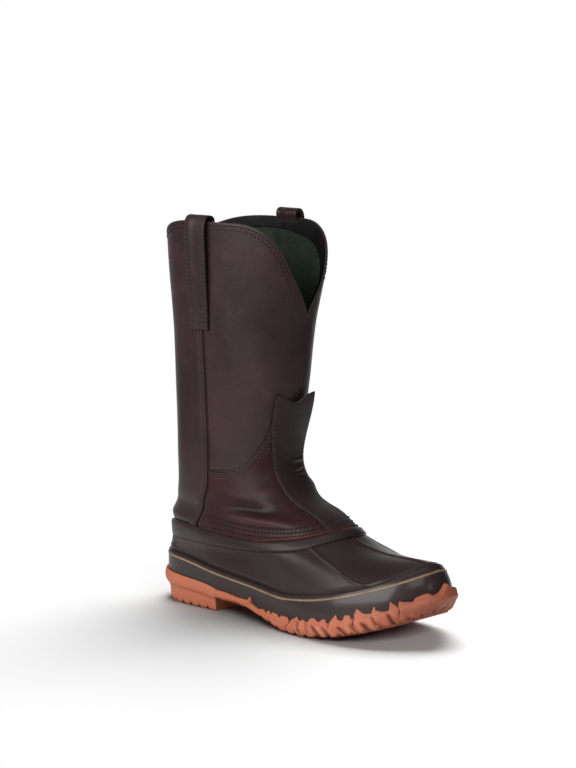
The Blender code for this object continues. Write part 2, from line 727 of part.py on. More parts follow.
def build_piping(name, side):
    """Raised side seam from the rubber rim up to the pull strap."""
    low = rim_height(SEAM["angle"][0]) + WELT_HEIGHT + 3 * OVERLAY_GAP
    height = np.linspace(low, SEAM_TOP, PIPING_POINTS)
    angle = -side * read(SEAM, "height", "angle", height)
    path = on_shaft(angle, height, OVERLAY_GAP + SEAM_RADIUS)
    curve = bpy.data.curves.new(name, "CURVE")
    curve.dimensions = "3D"
    curve.bevel_depth = SEAM_RADIUS
    curve.bevel_resolution = 1
    curve.use_fill_caps = True
    line = curve.splines.new("POLY")
    line.points.add(len(path) - 1)
    line.points.foreach_set("co", np.column_stack([path, np.ones(len(path))]).ravel())
    curve.materials.append(MATERIALS["leather"])
    part = bpy.data.objects.new(name, curve)
    bpy.context.scene.collection.objects.link(part)


def build_strap(name, side):
    """Pull strap: sewn low on the outside, standing off above, folded over the collar, sewn inside."""
    out, height = STRAP_PATH["out"], STRAP_PATH["height"]
    along = unit(np.gradient(np.column_stack([out, height]), axis=0))
    half = STRAP_THICKNESS / 2
    across = np.linspace(-0.5, 0.5, STRAP_COLUMNS)
    angle = -side * (STRAP_ANGLES[side] + STRAP_WIDTH_ANGLE * across)
    layers = []
    for face in (-half, half):
        face_height = (height - face * along[:, 0])[:, None]
        face_out = (out + face * along[:, 1])[:, None]
        layers.append(on_shaft(angle, face_height, face_out))
    slab_solid(name, *layers, "leather")


def make_materials():
    """One plain finish for each kind of surface."""
    materials = {}
    for name, (colour, roughness) in COLOURS.items():
        material = bpy.data.materials.new(name)
        material.use_nodes = True
        shader = material.node_tree.nodes["Principled BSDF"]
        shader.inputs["Base Color"].default_value = (*colour, 1)
        shader.inputs["Roughness"].default_value = roughness
        materials[name] = material
    return materials


def centre_on_footprint():
    """Move every piece so that the middle of the boot's footprint is the origin."""
    bpy.context.view_layer.update()
    corners = np.array([corner for part in bpy.context.scene.objects for corner in part.bound_box])
    low, high = corners.min(axis=0), corners.max(axis=0)
    shift = Matrix.Translation((-(low[0] + high[0]) / 2, -(low[1] + high[1]) / 2, -low[2]))
    for part in bpy.context.scene.objects:
        part.data.transform(shift)


for old in list(bpy.data.objects):
    bpy.data.objects.remove(old)
MATERIALS = make_materials()
build_outsole()
build_shell()
build_stripe()
build_welt()
build_insole()
build_shaft()
build_vamp_panel()
build_instep_strip()
build_piping("side_piping_outer", OUTER)
build_piping("side_piping_inner", INNER)
build_strap("pull_strap_outer", OUTER)
build_strap("pull_strap_inner", INNER)
centre_on_footprint()
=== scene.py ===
import json
import math

import bmesh
import bpy
import numpy as np
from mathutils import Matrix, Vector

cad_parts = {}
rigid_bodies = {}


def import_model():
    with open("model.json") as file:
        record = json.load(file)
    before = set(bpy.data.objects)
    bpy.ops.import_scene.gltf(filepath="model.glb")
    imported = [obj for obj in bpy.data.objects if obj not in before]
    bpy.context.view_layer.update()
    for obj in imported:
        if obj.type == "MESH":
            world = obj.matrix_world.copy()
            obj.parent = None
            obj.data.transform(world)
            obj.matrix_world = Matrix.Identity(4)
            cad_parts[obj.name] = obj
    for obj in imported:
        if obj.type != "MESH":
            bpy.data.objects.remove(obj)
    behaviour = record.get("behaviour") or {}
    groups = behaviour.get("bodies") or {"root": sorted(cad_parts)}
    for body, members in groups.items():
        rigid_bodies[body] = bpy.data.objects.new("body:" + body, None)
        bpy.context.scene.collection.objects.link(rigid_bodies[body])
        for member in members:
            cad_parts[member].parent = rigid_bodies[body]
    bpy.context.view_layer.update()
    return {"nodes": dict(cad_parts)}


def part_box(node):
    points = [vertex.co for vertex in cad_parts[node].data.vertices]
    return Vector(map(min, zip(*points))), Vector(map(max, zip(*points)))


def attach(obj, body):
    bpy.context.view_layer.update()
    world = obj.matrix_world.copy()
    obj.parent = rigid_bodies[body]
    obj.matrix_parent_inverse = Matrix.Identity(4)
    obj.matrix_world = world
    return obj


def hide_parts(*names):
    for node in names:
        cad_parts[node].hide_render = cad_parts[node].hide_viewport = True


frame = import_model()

# Outsole: one moulding of brick-orange rubber with a grooved heel block, an arch and a sprung toe.
# The links of its chain tread come up the side in ragged teeth, and it is vulcanised to the rubber bottom.

OUTER, INNER = -1, 1
# The end of the heel, on the boot's middle line: sizes along the boot start there.
HEEL_END = np.array([
    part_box("outsole")[0].x,
    (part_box("side_piping_outer")[0].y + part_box("side_piping_inner")[1].y) / 2,
    0.0,
])


def table(columns, *rows):
    """A short table of sizes, read by the names of its columns."""
    return dict(zip(columns.split(), np.array(rows, dtype=float).T))


SOLE_LENGTH, TIP_SIDE, OUTLINE_POINTS = 0.312, 0.004, 1200
SOLE_PLAN = table(
    "x outer inner",
    (0.012, 0.0290, 0.0265),
    (0.045, 0.039, 0.037),
    (0.115, 0.0415, 0.0365),
    (0.165, 0.0515, 0.0425),
    (0.205, 0.058, 0.0525),
    (0.250, 0.054, 0.0545),
    (0.290, 0.034, 0.0395),
)
EDGE_LOW_X, EDGE_LOW, EDGE_HEEL, EDGE_TOE = 0.173, 0.0135, 0.0266, 0.049
SPRING_START, SPRING, SPRING_POWER = 0.195, 0.0293, 1.75
BREAST_X, BREAST_DRAFT = 0.083, 0.0015
ARCH_HEIGHT, ARCH_START, ARCH_END = 0.0124, 0.108, 0.182
PLATE_HEEL, PLATE_FOREFOOT = 0.0205, 0.009
HEEL_GROOVE_START, HEEL_GROOVE_PITCH, HEEL_GROOVES = 0.009, 0.0105, 7
HEEL_GROOVE_HALF, HEEL_GROOVE_DEPTH, HEEL_GROOVE_FLANK = 0.0015, 0.0024, 1.6
HEEL_TUCK, HEEL_TUCK_DROPS, HEEL_TUCK_POWER, HEEL_SLANT = 0.0050, (0.0060, 0.0175), 1.5, 0.10
HEEL_LIP, HEEL_LIP_FALL = 1.25, 0.35
LOBES_START, LOBES_CLEAR, LOBES_GROW, LOBES, LOBE_STATIONS = 0.135, 0.001, 0.022, 17, 26
HEEL_STATIONS, WAIST_START, WAIST_STATIONS = 90, 0.088, 96
WAIST_PITCH, WAIST_TOOTH, WAIST_TOOTHED, WAIST_EDGE = 0.0036, 0.0013, (0.089, 0.1235), 0.3
RAGGED_SHARE = np.array([
    0, 10, 22, 25.2, 27.4, 29.8, 32.3, 34.6, 36.9, 40.5, 40.92, 41.56, 41.72, 41.88, 43.92, 44.72, 46.37, 46.97,
    47.39, 48.02, 48.92, 49.67, 50.12, 50.72, 52.62, 53.22, 53.62, 54.22, 56.72, 57.32, 58.12, 59.72, 60.22,
    60.82, 61.32, 61.92, 62.82, 63.02, 63.92, 64.72, 65.82, 66.72, 67.22, 68.47, 69.32, 69.62, 70.22, 70.82,
    71.62, 72.12, 72.42, 72.72, 73.32, 74.22, 74.52, 75.62, 76.02, 76.32, 76.92, 77.12, 77.62, 78.34, 79.08,
    79.84, 81.36, 81.49, 81.82, 82.15, 82.37, 82.82, 83.8, 85.24, 85.47, 85.6, 85.8, 86.65, 87.3, 87.5, 87.7,
    87.9, 88.7, 90.8, 91.2, 91.7, 93.8, 94.9, 95.65, 96, 97.6, 98.6, 100])
RAGGED_LIFT = np.array([
    1.8, 1.8, 1.8, 1.5, 0.6, -0.8, -0.3, -0.8, -1.1, -0.1, 1.2, 3.9, 0.3, -1.4, -3.4, -3.8, -2.3, -2.4, -4,
    -3.6, -1, -3.1, -3.6, -0.8, -1, -2.9, -2.6, -0.3, -0.5, -4, -2.1, 0.3, 1.3, -1.7, -2.3, -1, -1.1, -2.5,
    -2.7, 0.2, 0.5, -2, -3.3, -0.9, -1.4, -4.4, -5, -3.2, -0.1, 1.5, 0.5, -2.5, -4.1, -4, -0.1, -0.7, -1.9,
    -4.5, -3.9, -0.4, 3.4, 1.2, -1.3, -2.6, -3.5, -1, 1.7, 0.9, -1.7, -2.6, -4.2, -5, -4.2, 1.2, 2, -1, -3.1,
    -5, -1, 0.4, -1.2, -3.4, -3.2, -0.9, -0.1, -0.4, -2.2, -3.2, -2.6, 0, 3.6]) / 1000
TEETH_FOOT, FOOT_LEVEL, EDGE_LUG, LEAN_LEVEL, LEAN_LEVEL_POWER = 0.0058, 0.62, 0.45, 0.45, 1.5
BUMPER_SHARES, BUMPER_OUT, BUMPER_LEVEL, BUMPER_SPREAD = (0.905, 0.985), 0.0046, 0.74, 0.40
SCOOP_BACK, SCOOP_FRONT_POWER, SCOOP_WAY, SCOOP_TOP, SCOOP_FOOT = 0.35, 1.3, (-0.2, 1.2), (-0.25, 0.15), (1.3, 0.95)
CREST_HEIGHT, CREST_AT, CREST_HALF = 0.45, 1.9, 0.8
SCOOPS = table(
    "start end high low deep wide",
    (42.3, 40.9, 7.7, 3.2, 0.8, 1.0),
    (51.6, 53.2, 6.9, 2.0, 1.2, 2.2),
    (54.0, 54.4, 11.6, 7.7, 0.8, 1.0),
    (57.8, 56.8, 11.8, 5.4, 1.3, 1.3),
    (55.8, 57.0, 4.7, 1.2, 1.4, 2.0),
    (60.1, 61.2, 12.0, 2.3, 1.4, 3.0),
    (63.0, 64.0, 13.5, 3.5, 1.0, 3.0),
    (65.2, 67.4, 10.7, 1.1, 2.2, 3.6),
    (70.2, 70.5, 14.2, 8.2, 1.2, 1.2),
    (68.5, 70.2, 9.2, 1.4, 1.7, 3.2),
    (73.0, 74.9, 8.5, 0.1, 2.2, 3.6),
    (76.9, 76.9, 15.7, 9.3, 1.2, 1.2),
    (76.3, 77.8, 9.6, 0.0, 1.5, 3.2),
    (79.0, 80.9, 8.9, 0.0, 2.2, 3.4),
    (81.4, 82.5, 12.7, 4.6, 1.5, 2.0),
    (82.8, 84.2, 6.0, 0.0, 1.2, 2.6),
    (85.2, 86.4, 11.1, 1.9, 2.2, 2.4),
    (87.8, 88.0, 13.5, 7.9, 1.3, 1.1),
    (87.1, 88.2, 6.3, 0.0, 1.0, 2.4),
    (89.9, 91.4, 3.4, 0.0, 1.5, 2.0),
    (91.6, 92.2, 6.6, 3.5, 1.1, 1.6),
    (95.0, 95.5, 12.8, 10.2, 0.9, 1.4),
    (93.7, 94.4, 5.3, 1.2, 0.8, 1.8),
)
LUG_DEPTH, LUG_GAP, LUG_FLANK, LUG_ZIGZAG = 0.004, 0.24, 1.5, 0.0045
SLIT_DEPTH, SLIT_HALF = 0.0012, 0.06
LUG_ACROSS = (0, 0.2, 0.4, 0.6, 0.8, 1)
LUG_TURNS = (0, 1, -1, 1, -1, 0)
TREAD_COLUMNS = 41
TOE_START, TOE_ROUND = 0.27, 0.004
SHELL_INSET, GAP = 0.003, 0.0003
FOXING_ABOVE_SOLE = 0.020
SIDE = table(
    "drop share heel_inset level inset",
    (0.0000, 1.000, 0.0013, 1.000, 0.0020),
    (0.0008, 1.000, 0.0007, 0.970, 0.0015),
    (0.0020, 1.000, 0.0002, 0.920, 0.0013),
    (0.0035, 1.000, 0.0000, 0.860, 0.0013),
    (0.0050, 1.000, 0.0000, 0.790, 0.0013),
    (0.0062, 1.000, 0.0002, 0.720, 0.0012),
    (0.0070, 1.000, 0.0007, 0.665, 0.0009),
    (0.0076, 1.000, 0.0012, 0.620, 0.0003),
    (0.0080, 1.000, 0.0018, 0.580, -0.0002),
    (0.0088, 1.000, 0.0020, 0.520, -0.0004),
    (0.0088, 0.900, 0.0021, 0.450, -0.0005),
    (0.0088, 0.720, 0.0022, 0.380, -0.0004),
    (0.0088, 0.540, 0.0023, 0.310, -0.0002),
    (0.0088, 0.380, 0.0025, 0.250, 0.0000),
    (0.0088, 0.250, 0.0027, 0.190, 0.0003),
    (0.0088, 0.150, 0.0030, 0.140, 0.0006),
    (0.0088, 0.080, 0.0033, 0.090, 0.0011),
    (0.0088, 0.040, 0.0038, 0.050, 0.0017),
    (0.0088, 0.015, 0.0042, 0.020, 0.0026),
    (0.0088, 0.000, 0.0050, 0.000, 0.0040),
)


def spline(knots, values, at):
    """Natural cubic through the values at the knots, held at its end values outside them."""
    count = len(knots)
    step = np.diff(knots)
    slope = np.diff(values) / step
    system = np.eye(count)
    bend = np.zeros(count)
    for k in range(1, count - 1):
        system[k, k - 1:k + 2] = step[k - 1], 2 * (step[k - 1] + step[k]), step[k]
        bend[k] = 6 * (slope[k] - slope[k - 1])
    second = np.linalg.solve(system, bend)
    at = np.clip(at, knots[0], knots[-1])
    k = np.clip(np.searchsorted(knots, at) - 1, 0, count - 2)
    right = at - knots[k]
    left = knots[k + 1] - at
    cubic = (second[k] * left ** 3 + second[k + 1] * right ** 3) / (6 * step[k])
    return (cubic + (values[k] / step[k] - second[k] * step[k] / 6) * left
            + (values[k + 1] / step[k] - second[k + 1] * step[k] / 6) * right)


def read(columns, key, name, at):
    """One column of a table as a smooth function of another."""
    return spline(columns[key], columns[name], at)


def blend(start, end, at):
    """Smooth step from 0 at start to 1 at end."""
    t = np.clip((at - start) / (end - start), 0, 1)
    return t * t * (3 - 2 * t)


def bell(distance, half):
    """Bell curve of a distance: 1 at nothing, 1/e at the half width."""
    return np.exp(-(distance / half) ** 2)


def unit(vectors):
    """Vectors of length one."""
    return vectors / np.linalg.norm(vectors, axis=-1, keepdims=True)


def run_along(points, power=1):
    """Distance along a row of points: the sum of its steps, each raised to a power."""
    return np.concatenate([[0], np.cumsum(np.linalg.norm(np.diff(points, axis=0), axis=1) ** power)])


def carried(at, run, values):
    """Vectors kept along a row of points, at other distances along it: straight lines between them."""
    return np.column_stack([np.interp(at, run, column) for column in values.T])


def outline_halves():
    """Halves of the sole's outline from heel to toe: a closed cubic through the plan's points, by arc length."""
    outer = np.column_stack([SOLE_PLAN["x"], -SOLE_PLAN["outer"]])
    inner = np.column_stack([SOLE_PLAN["x"], SOLE_PLAN["inner"]])
    turns = np.vstack([[(0, 0)], outer, [(SOLE_LENGTH, TIP_SIDE)], inner[::-1]])
    twice = np.vstack([turns, turns, turns[:1]])
    knots = run_along(twice, 0.5)
    half = len(turns) // 2
    tip_before, heel, tip_after = knots[[half, 2 * half, 3 * half]]
    halves = {}
    for side, tip in ((OUTER, tip_after), (INNER, tip_before)):
        at = np.linspace(heel, tip, OUTLINE_POINTS)
        points = np.column_stack([spline(knots, twice[:, axis], at) for axis in (0, 1)])
        along = unit(np.gradient(points, axis=0))
        normals = side * np.column_stack([-along[:, 1], along[:, 0]])
        halves[side] = run_along(points), points, normals
    return halves


OUTLINE = outline_halves()


def outline(side, share, inset=0.0):
    """Points and normals of the outline at a share of the way from heel to toe, moved in by inset."""
    run, points, normals = OUTLINE[side]
    at = share * run[-1]
    normal = unit(carried(at, run, normals))
    return carried(at, run, points) - normal * inset, normal


def share_at(side, x):
    """Share of the way along the outline where it passes a distance from the heel."""
    run, points, _ = OUTLINE[side]
    return np.interp(x, points[:, 0], run) / run[-1]


def edge_height(x):
    """Upper edge of the sole: falls evenly from the heel to the waist, then rises by a power to the toe."""
    rear = np.clip((EDGE_LOW_X - x) / EDGE_LOW_X, 0, 1)
    fore = np.clip((x - EDGE_LOW_X) / (SOLE_LENGTH - EDGE_LOW_X), 0, 1)
    return EDGE_LOW + (EDGE_HEEL - EDGE_LOW) * rear + (EDGE_TOE - EDGE_LOW) * fore ** SPRING_POWER


def spring_height(x):
    """Lift of the forefoot, by a power of the way to the toe."""
    return SPRING * np.clip((x - SPRING_START) / (SOLE_LENGTH - SPRING_START), 0, 1) ** SPRING_POWER


def on_heel(x):
    """True under the heel block, up to the middle of its sloping breast."""
    return x < BREAST_X + BREAST_DRAFT / 2


def under_height(x):
    """Underside of the sole: flat heel block, arch, flat ball, toe spring."""
    arch = ARCH_HEIGHT * (1 - blend(ARCH_START, ARCH_END, x))
    return np.where(on_heel(x), 0.0, arch + spring_height(x))


def plate_height(x):
    """Upper face of the sole inside its rim."""
    return PLATE_HEEL + (PLATE_FOREFOOT - PLATE_HEEL) * blend(0.0, EDGE_LOW_X, x) + spring_height(x)


SHELL_FORM = table(
    "x lean turn rim_x reach_low reach_high",
    (0.000, 0.0005, 4.0, 0.0090, 0.34, 0.34),
    (0.050, 0.0000, 0.0, 0.0445, 0.34, 0.34),
    (0.100, 0.0000, 0.0, 0.0840, 0.34, 0.34),
    (0.150, 0.0010, 10.0, 0.1175, 0.34, 0.34),
    (0.200, 0.0034, 26.0, 0.1445, 0.34, 0.32),
    (0.250, 0.0056, 53.0, 0.1660, 0.333, 0.310),
    (0.285, 0.0080, 85.0, 0.1820, 0.309, 0.325),
    (0.312, 0.0110, 84.0, 0.2000, 0.309, 0.325),
)
LEAN_POWER = 2.4


def foxing_wall(side, share, height, out):
    """Outer face of the rubber wall: upright at heel and waist, leaning back by a power of its height at the toe."""
    foot, normal = outline(side, share, SHELL_INSET)
    low = plate_height(foot[:, 0])
    rise = np.maximum(height - low, 0) / (edge_height(foot[:, 0]) + FOXING_ABOVE_SOLE - low)
    lean = read(SHELL_FORM, "x", "lean", foot[:, 0]) * rise ** LEAN_POWER
    return np.column_stack([foot + normal * (out - lean)[:, None], height])


def ragged_edge(share):
    """Lift of the sole's upper edge: straight lines from point to point of its ragged teeth and notches."""
    return np.interp(100 * share, RAGGED_SHARE, RAGGED_LIFT)


def scoop_relief(side, share, rise):
    """Slanted scoops between the links: valleys along straight lines up the side, steep behind and easy in front."""
    total = np.zeros(np.shape(rise))
    for start, end, high, low, deep, wide in zip(*SCOOPS.values()):
        way = (high - 1000 * rise) / (high - low)
        off = (100 * share - start - (end - start) * np.clip(way, *SCOOP_WAY)) * OUTLINE[side][0][-1] * 10 / wide
        valley = np.where(off < 0, bell(off, SCOOP_BACK), np.exp(-np.maximum(off, 0) ** SCOOP_FRONT_POWER))
        valley = valley - CREST_HEIGHT * bell(off - CREST_AT, CREST_HALF)
        total = total - deep / 1000 * valley * blend(*SCOOP_TOP, way) * blend(*SCOOP_FOOT, way)
    return total


def sole_cut(x, phase, grown):
    """Depth of the tread from below: grooves across the heel, V grooves and fine slits between the lugs."""
    nearest = np.round((x - HEEL_GROOVE_START) / HEEL_GROOVE_PITCH)
    nearest = np.clip(nearest, 0, HEEL_GROOVES - 1) * HEEL_GROOVE_PITCH + HEEL_GROOVE_START
    heel = HEEL_GROOVE_DEPTH * np.clip(HEEL_GROOVE_FLANK * (1 - np.abs(x - nearest) / HEEL_GROOVE_HALF), 0, 1)
    gap = np.minimum(phase % 1, 1 - phase % 1)
    lug = LUG_DEPTH * np.clip(LUG_FLANK * (1 - gap / LUG_GAP), 0, 1)
    slit = SLIT_DEPTH * np.clip(1 - np.abs(phase % 1 - 0.5) / SLIT_HALF, 0, 1)
    return np.where(on_heel(x), heel, (lug + slit) * grown)


def sole_half(side):
    """Rows of one half, from the foot of the rim over its ragged edge down the side to the tread."""
    heel_x = BREAST_X * (1 - np.cos(np.linspace(0, np.pi / 2, HEEL_STATIONS)))
    waist_x = np.linspace(WAIST_START, LOBES_START - LOBES_CLEAR, WAIST_STATIONS)
    rear = np.concatenate([heel_x, [BREAST_X + BREAST_DRAFT], waist_x])
    start = share_at(side, LOBES_START)
    even = np.linspace(start, 1, LOBES * LOBE_STATIONS + 1)
    both_start = max(share_at(OUTER, LOBES_START), share_at(INNER, LOBES_START))
    peaks = RAGGED_SHARE[RAGGED_SHARE > 100 * both_start][:-1] / 100
    share = np.concatenate([share_at(side, rear), np.sort(np.concatenate([even, peaks]))])
    phase = np.maximum(share - start, 0) / (1 - start) * LOBES
    point, normal = outline(side, share)
    x = point[:, 0]
    grown = np.where(np.arange(len(x)) < len(rear), 0.0, blend(LOBES_START, LOBES_START + LOBES_GROW, x))
    bumper = blend(*BUMPER_SHARES, share)
    heel = on_heel(x)
    edge = edge_height(x)
    top = edge + ragged_edge(share)
    toothed = (x > WAIST_TOOTHED[0]) & (x < WAIST_TOOTHED[1])
    tooth = WAIST_TOOTH * np.clip(1.5 - 3 * np.abs(2 * (x / WAIST_PITCH % 1) - 1), -0.5, 1) * toothed
    bottom = under_height(x) + sole_cut(x, phase, grown) * np.where(heel, 1, EDGE_LUG) - tooth
    column = {name: values[:, None] for name, values in SIDE.items()}
    lip = HEEL_LIP + HEEL_LIP_FALL * np.clip(1 - x / BREAST_X, 0, 1)
    heel_z = bottom + column["share"] * (top - column["drop"] * lip - bottom)
    plain_foot = bottom + FOOT_LEVEL * (top - bottom)
    foot = plain_foot + grown * (edge - TEETH_FOOT - plain_foot)
    above = (column["level"] - FOOT_LEVEL) / (1 - FOOT_LEVEL)
    fore_z = np.where(above > 0, foot + above * (top - foot), bottom + column["level"] / FOOT_LEVEL * (foot - bottom))
    toe = TOE_ROUND * blend(TOE_START, SOLE_LENGTH, x) * (1 - column["level"]) ** 2
    fall = top - heel_z
    tuck = HEEL_TUCK * blend(*HEEL_TUCK_DROPS, fall) + HEEL_SLANT * np.maximum(fall - HEEL_TUCK_DROPS[1], 0)
    tuck = tuck * np.clip(-normal[:, 0], 0, 1) ** HEEL_TUCK_POWER
    bulge = BUMPER_OUT * bumper * bell(column["level"] - BUMPER_LEVEL, BUMPER_SPREAD)
    fore_inset = column["inset"] * (WAIST_EDGE + (1 - WAIST_EDGE) * grown)
    inset = np.where(heel, column["heel_inset"] + tuck, fore_inset + toe - bulge)
    relief = scoop_relief(side, share, fore_z - under_height(x)) * np.where(heel, 0, 1)
    wall = foxing_wall(side, share, top, GAP)
    back = np.sum((point - wall[:, :2]) * normal, axis=1) - SHELL_INSET + GAP
    leaning = np.clip((column["level"] - LEAN_LEVEL) / (1 - LEAN_LEVEL), 0, 1) ** LEAN_LEVEL_POWER
    inset = inset + np.maximum(back, 0) * leaning
    side_xy = point - normal * (inset - relief)[..., None]
    rows = np.concatenate([side_xy, np.where(heel, heel_z, fore_z)[..., None]], axis=2)
    plate = plate_height(outline(side, share, SHELL_INSET)[0][:, 0])
    base = foxing_wall(side, share, plate, GAP)
    return np.concatenate([[base], [wall], rows]), np.concatenate([np.zeros((2, len(x))), relief]), phase, grown


def numbers(points, start=0):
    """Numbers of the vertices of a grid of points."""
    return start + np.arange(points[..., 0].size).reshape(points.shape[:-1])


def quads_of(number, wrap=False):
    """Quads between the rows and columns of a grid of vertex numbers, with its columns closed into a ring or not."""
    if wrap:
        number = np.concatenate([number, number[..., :1]], axis=-1)
    corners = (number[..., :-1, :-1], number[..., :-1, 1:], number[..., 1:, 1:], number[..., 1:, :-1])
    return np.stack(corners, axis=-1).reshape(-1, 4)


def piece(name, points, quads, material, slot, replaces=(), sharp=38, **values):
    """A closed mesh of the points and quads, facing outwards, that rides on the boot."""
    mesh = bpy.data.meshes.new(name)
    mesh.from_pydata((points.reshape(-1, 3) + HEEL_END).tolist(), [], quads.tolist())
    for key, value in values.items():
        mesh.attributes.new(key, "FLOAT", "POINT").data.foreach_set("value", value.astype(np.float32).ravel())
    shape = bmesh.new()
    shape.from_mesh(mesh)
    bmesh.ops.delete(shape, geom=[v for v in shape.verts if not v.link_faces], context="VERTS")
    bmesh.ops.remove_doubles(shape, verts=shape.verts, dist=1e-6)
    bmesh.ops.recalc_face_normals(shape, faces=shape.faces)
    shape.to_mesh(mesh)
    shape.free()
    mesh.shade_smooth()
    mesh.set_sharp_from_angle(angle=math.radians(sharp))
    mesh.materials.append(material)
    made = bpy.data.objects.new(name, mesh)
    bpy.context.scene.collection.objects.link(made)
    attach(made, "root")
    if replaces:
        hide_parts(*replaces)


class Wire:
    """A socket of a finish: arithmetic on it adds Math nodes, and make() adds any other node."""

    def __init__(self, tree, socket):
        self.tree = tree
        self.socket = socket

    def make(self, kind, settings=None, inputs=None, output=0):
        """A new node of any kind: its settings first, then the values or links of its sockets."""
        node = self.tree.nodes.new("ShaderNode" + kind)
        for name, value in (settings or {}).items():
            setattr(node, name, value)
        for name, value in (inputs or {}).items():
            if isinstance(value, Wire):
                self.tree.links.new(value.socket, node.inputs[name])
            else:
                node.inputs[name].default_value = value
        return Wire(self.tree, node.outputs[output])

    def math(self, operation, other=0.0, swap=False):
        """A Math node on the socket and another value, in that order or swapped."""
        pair = (other, self) if swap else (self, other)
        return self.make("Math", {"operation": operation}, dict(enumerate(pair)))

    def __add__(self, other):
        return self.math("ADD", other)

    def __sub__(self, other):
        return self.math("SUBTRACT", other)

    def __rsub__(self, other):
        return self.math("SUBTRACT", other, swap=True)

    def __mul__(self, other):
        return self.math("MULTIPLY", other)

    __radd__ = __add__
    __rmul__ = __mul__

    def range(self, low, high, to_low=0.0, to_high=1.0):
        """Smooth change from one value to another while the socket goes from low to high."""
        return self.make("MapRange", {"interpolation_type": "SMOOTHSTEP"}, {
            "Value": self, "From Min": low, "From Max": high, "To Min": to_low, "To Max": to_high})

    def line(self, at, half):
        """1 where the socket's value is at a place, falling to 0 at a half width from it."""
        return (self - at).math("ABSOLUTE").range(0.0, half, 1.0, 0.0)

    def noise(self, scale, detail=3.0, roughness=0.55):
        """Cloudy values about a half, with so many clouds to the metre."""
        return self.make("TexNoise", None, {
            "Vector": self, "Scale": scale, "Detail": detail, "Roughness": roughness}, "Fac")

    def axis(self, name):
        """One coordinate of a place."""
        return self.make("SeparateXYZ", None, {"Vector": self}, name)

    def tint(self, first, second):
        """Colour from the first to the second as the socket goes from 0 to 1."""
        return self.make("Mix", {"data_type": "RGBA"}, {0: self, 6: first, 7: second}, 2)

    def value(self, name):
        """A value that the mesh keeps at its points."""
        return self.make("Attribute", {"attribute_name": name}, None, "Fac")


def finish(name, **constants):
    """A new material: its Principled shader with constant values set, and the object's own coordinates."""
    material = bpy.data.materials.new(name)
    material.use_nodes = True
    shader = material.node_tree.nodes["Principled BSDF"]
    for key, value in constants.items():
        shader.inputs[key.replace("_", " ")].default_value = value
    coordinates = material.node_tree.nodes.new("ShaderNodeTexCoord")
    return material, shader, Wire(material.node_tree, coordinates.outputs["Object"])


def feed(shader, **wires):
    """Link wires to the shader's sockets; a height in millimetres goes to its normal through a bump."""
    for key, wire in wires.items():
        if key == "height":
            wire = wire.make("Bump", None, {"Strength": 1.0, "Distance": 0.001, "Height": wire})
            key = "Normal"
        wire.tree.links.new(wire.socket, shader.inputs[key.replace("_", " ")])


ORANGE = (0.3500, 0.1010, 0.0510, 1)
ORANGE_PALE = (0.4150, 0.1400, 0.0780, 1)
ORANGE_SHADE = (0.1500, 0.0330, 0.0190, 1)

orange_rubber, shader, place = finish("orange_rubber", Specular_IOR_Level=0.35)
groove = place.value("relief")
mottle = place.noise(55.0, 4.0)
speck = place.noise(420.0, 2.0)
# Raised crests of the relief are painted paler: painted highlight.
worn = groove.range(0.0000, 0.0009)
body_colour = (mottle * 0.7 + worn * 0.5).range(0.3, 0.95).tint(ORANGE, ORANGE_PALE)
# The toe end and the scoops of the relief are painted darker: painted shade.
toe_painted_shade = place.axis("X").range(0.095, 0.150) * mottle.range(0.2, 0.8, 0.25, 0.55)
orange_painted_shade = groove.range(-0.0002, -0.0016).math("MAXIMUM", toe_painted_shade)
feed(shader, Base_Color=orange_painted_shade.tint(body_colour, ORANGE_SHADE), Roughness=speck.range(0.3, 0.7, 0.48, 0.68),
     height=mottle * 0.35 + speck * 0.12)

outer_half = sole_half(OUTER)
inner_half = sole_half(INNER)
rings = np.concatenate([outer_half[0], inner_half[0][:, -2:0:-1]], axis=1)
ring_relief = np.concatenate([outer_half[1], inner_half[1][:, -2:0:-1]], axis=1)
number = numbers(rings)
stations = np.arange(outer_half[0].shape[1])
opposite = -stations % rings.shape[1]
across = np.linspace(0, 1, TREAD_COLUMNS)[1:-1]
near_edge, far_edge = rings[-1][stations], rings[-1][opposite]
tread = near_edge[:, None] + (far_edge - near_edge)[:, None] * across[:, None]
calm = outer_half[3][:, None] * (1 - blend(TOE_START, near_edge[-1, 0], tread[..., 0]))
tread[..., 0] += LUG_ZIGZAG * np.interp(across, LUG_ACROSS, LUG_TURNS) * calm
tread_x = np.where(stations[:, None] < HEEL_STATIONS, np.minimum(tread[..., 0], BREAST_X), tread[..., 0])
tread[..., 2] = under_height(tread_x) + sole_cut(tread_x, outer_half[2][:, None], outer_half[3][:, None])
tread_number = numbers(tread, number.size)
tread_lines = np.column_stack([number[-1, stations], tread_number, number[-1, opposite]])
plate_middle = (rings[0][stations] + rings[0][opposite]) / 2
middle_number = numbers(plate_middle, number.size + tread_number.size)
plate_lines = np.column_stack([number[0, stations], middle_number, number[0, opposite]])
sole_points = np.concatenate([rings.reshape(-1, 3), tread.reshape(-1, 3), plate_middle])
sole_relief = np.concatenate([ring_relief.ravel(), np.zeros(tread_number.size + len(stations))])
sole_quads = np.concatenate([quads_of(number, wrap=True), quads_of(tread_lines), quads_of(plate_lines)])
piece("chain_tread_sole", sole_points, sole_quads, orange_rubber, "sole_rubber", ["outsole"], relief=sole_relief)

# Rubber bottom: a hollow moulding of dark brown rubber, with a thick foxing wall, a domed vamp and a rolled band that
# grips the leather. Three raised ridges run up the vamp, one on each side and one along its middle, and it is
# vulcanised in one heat with the sole.

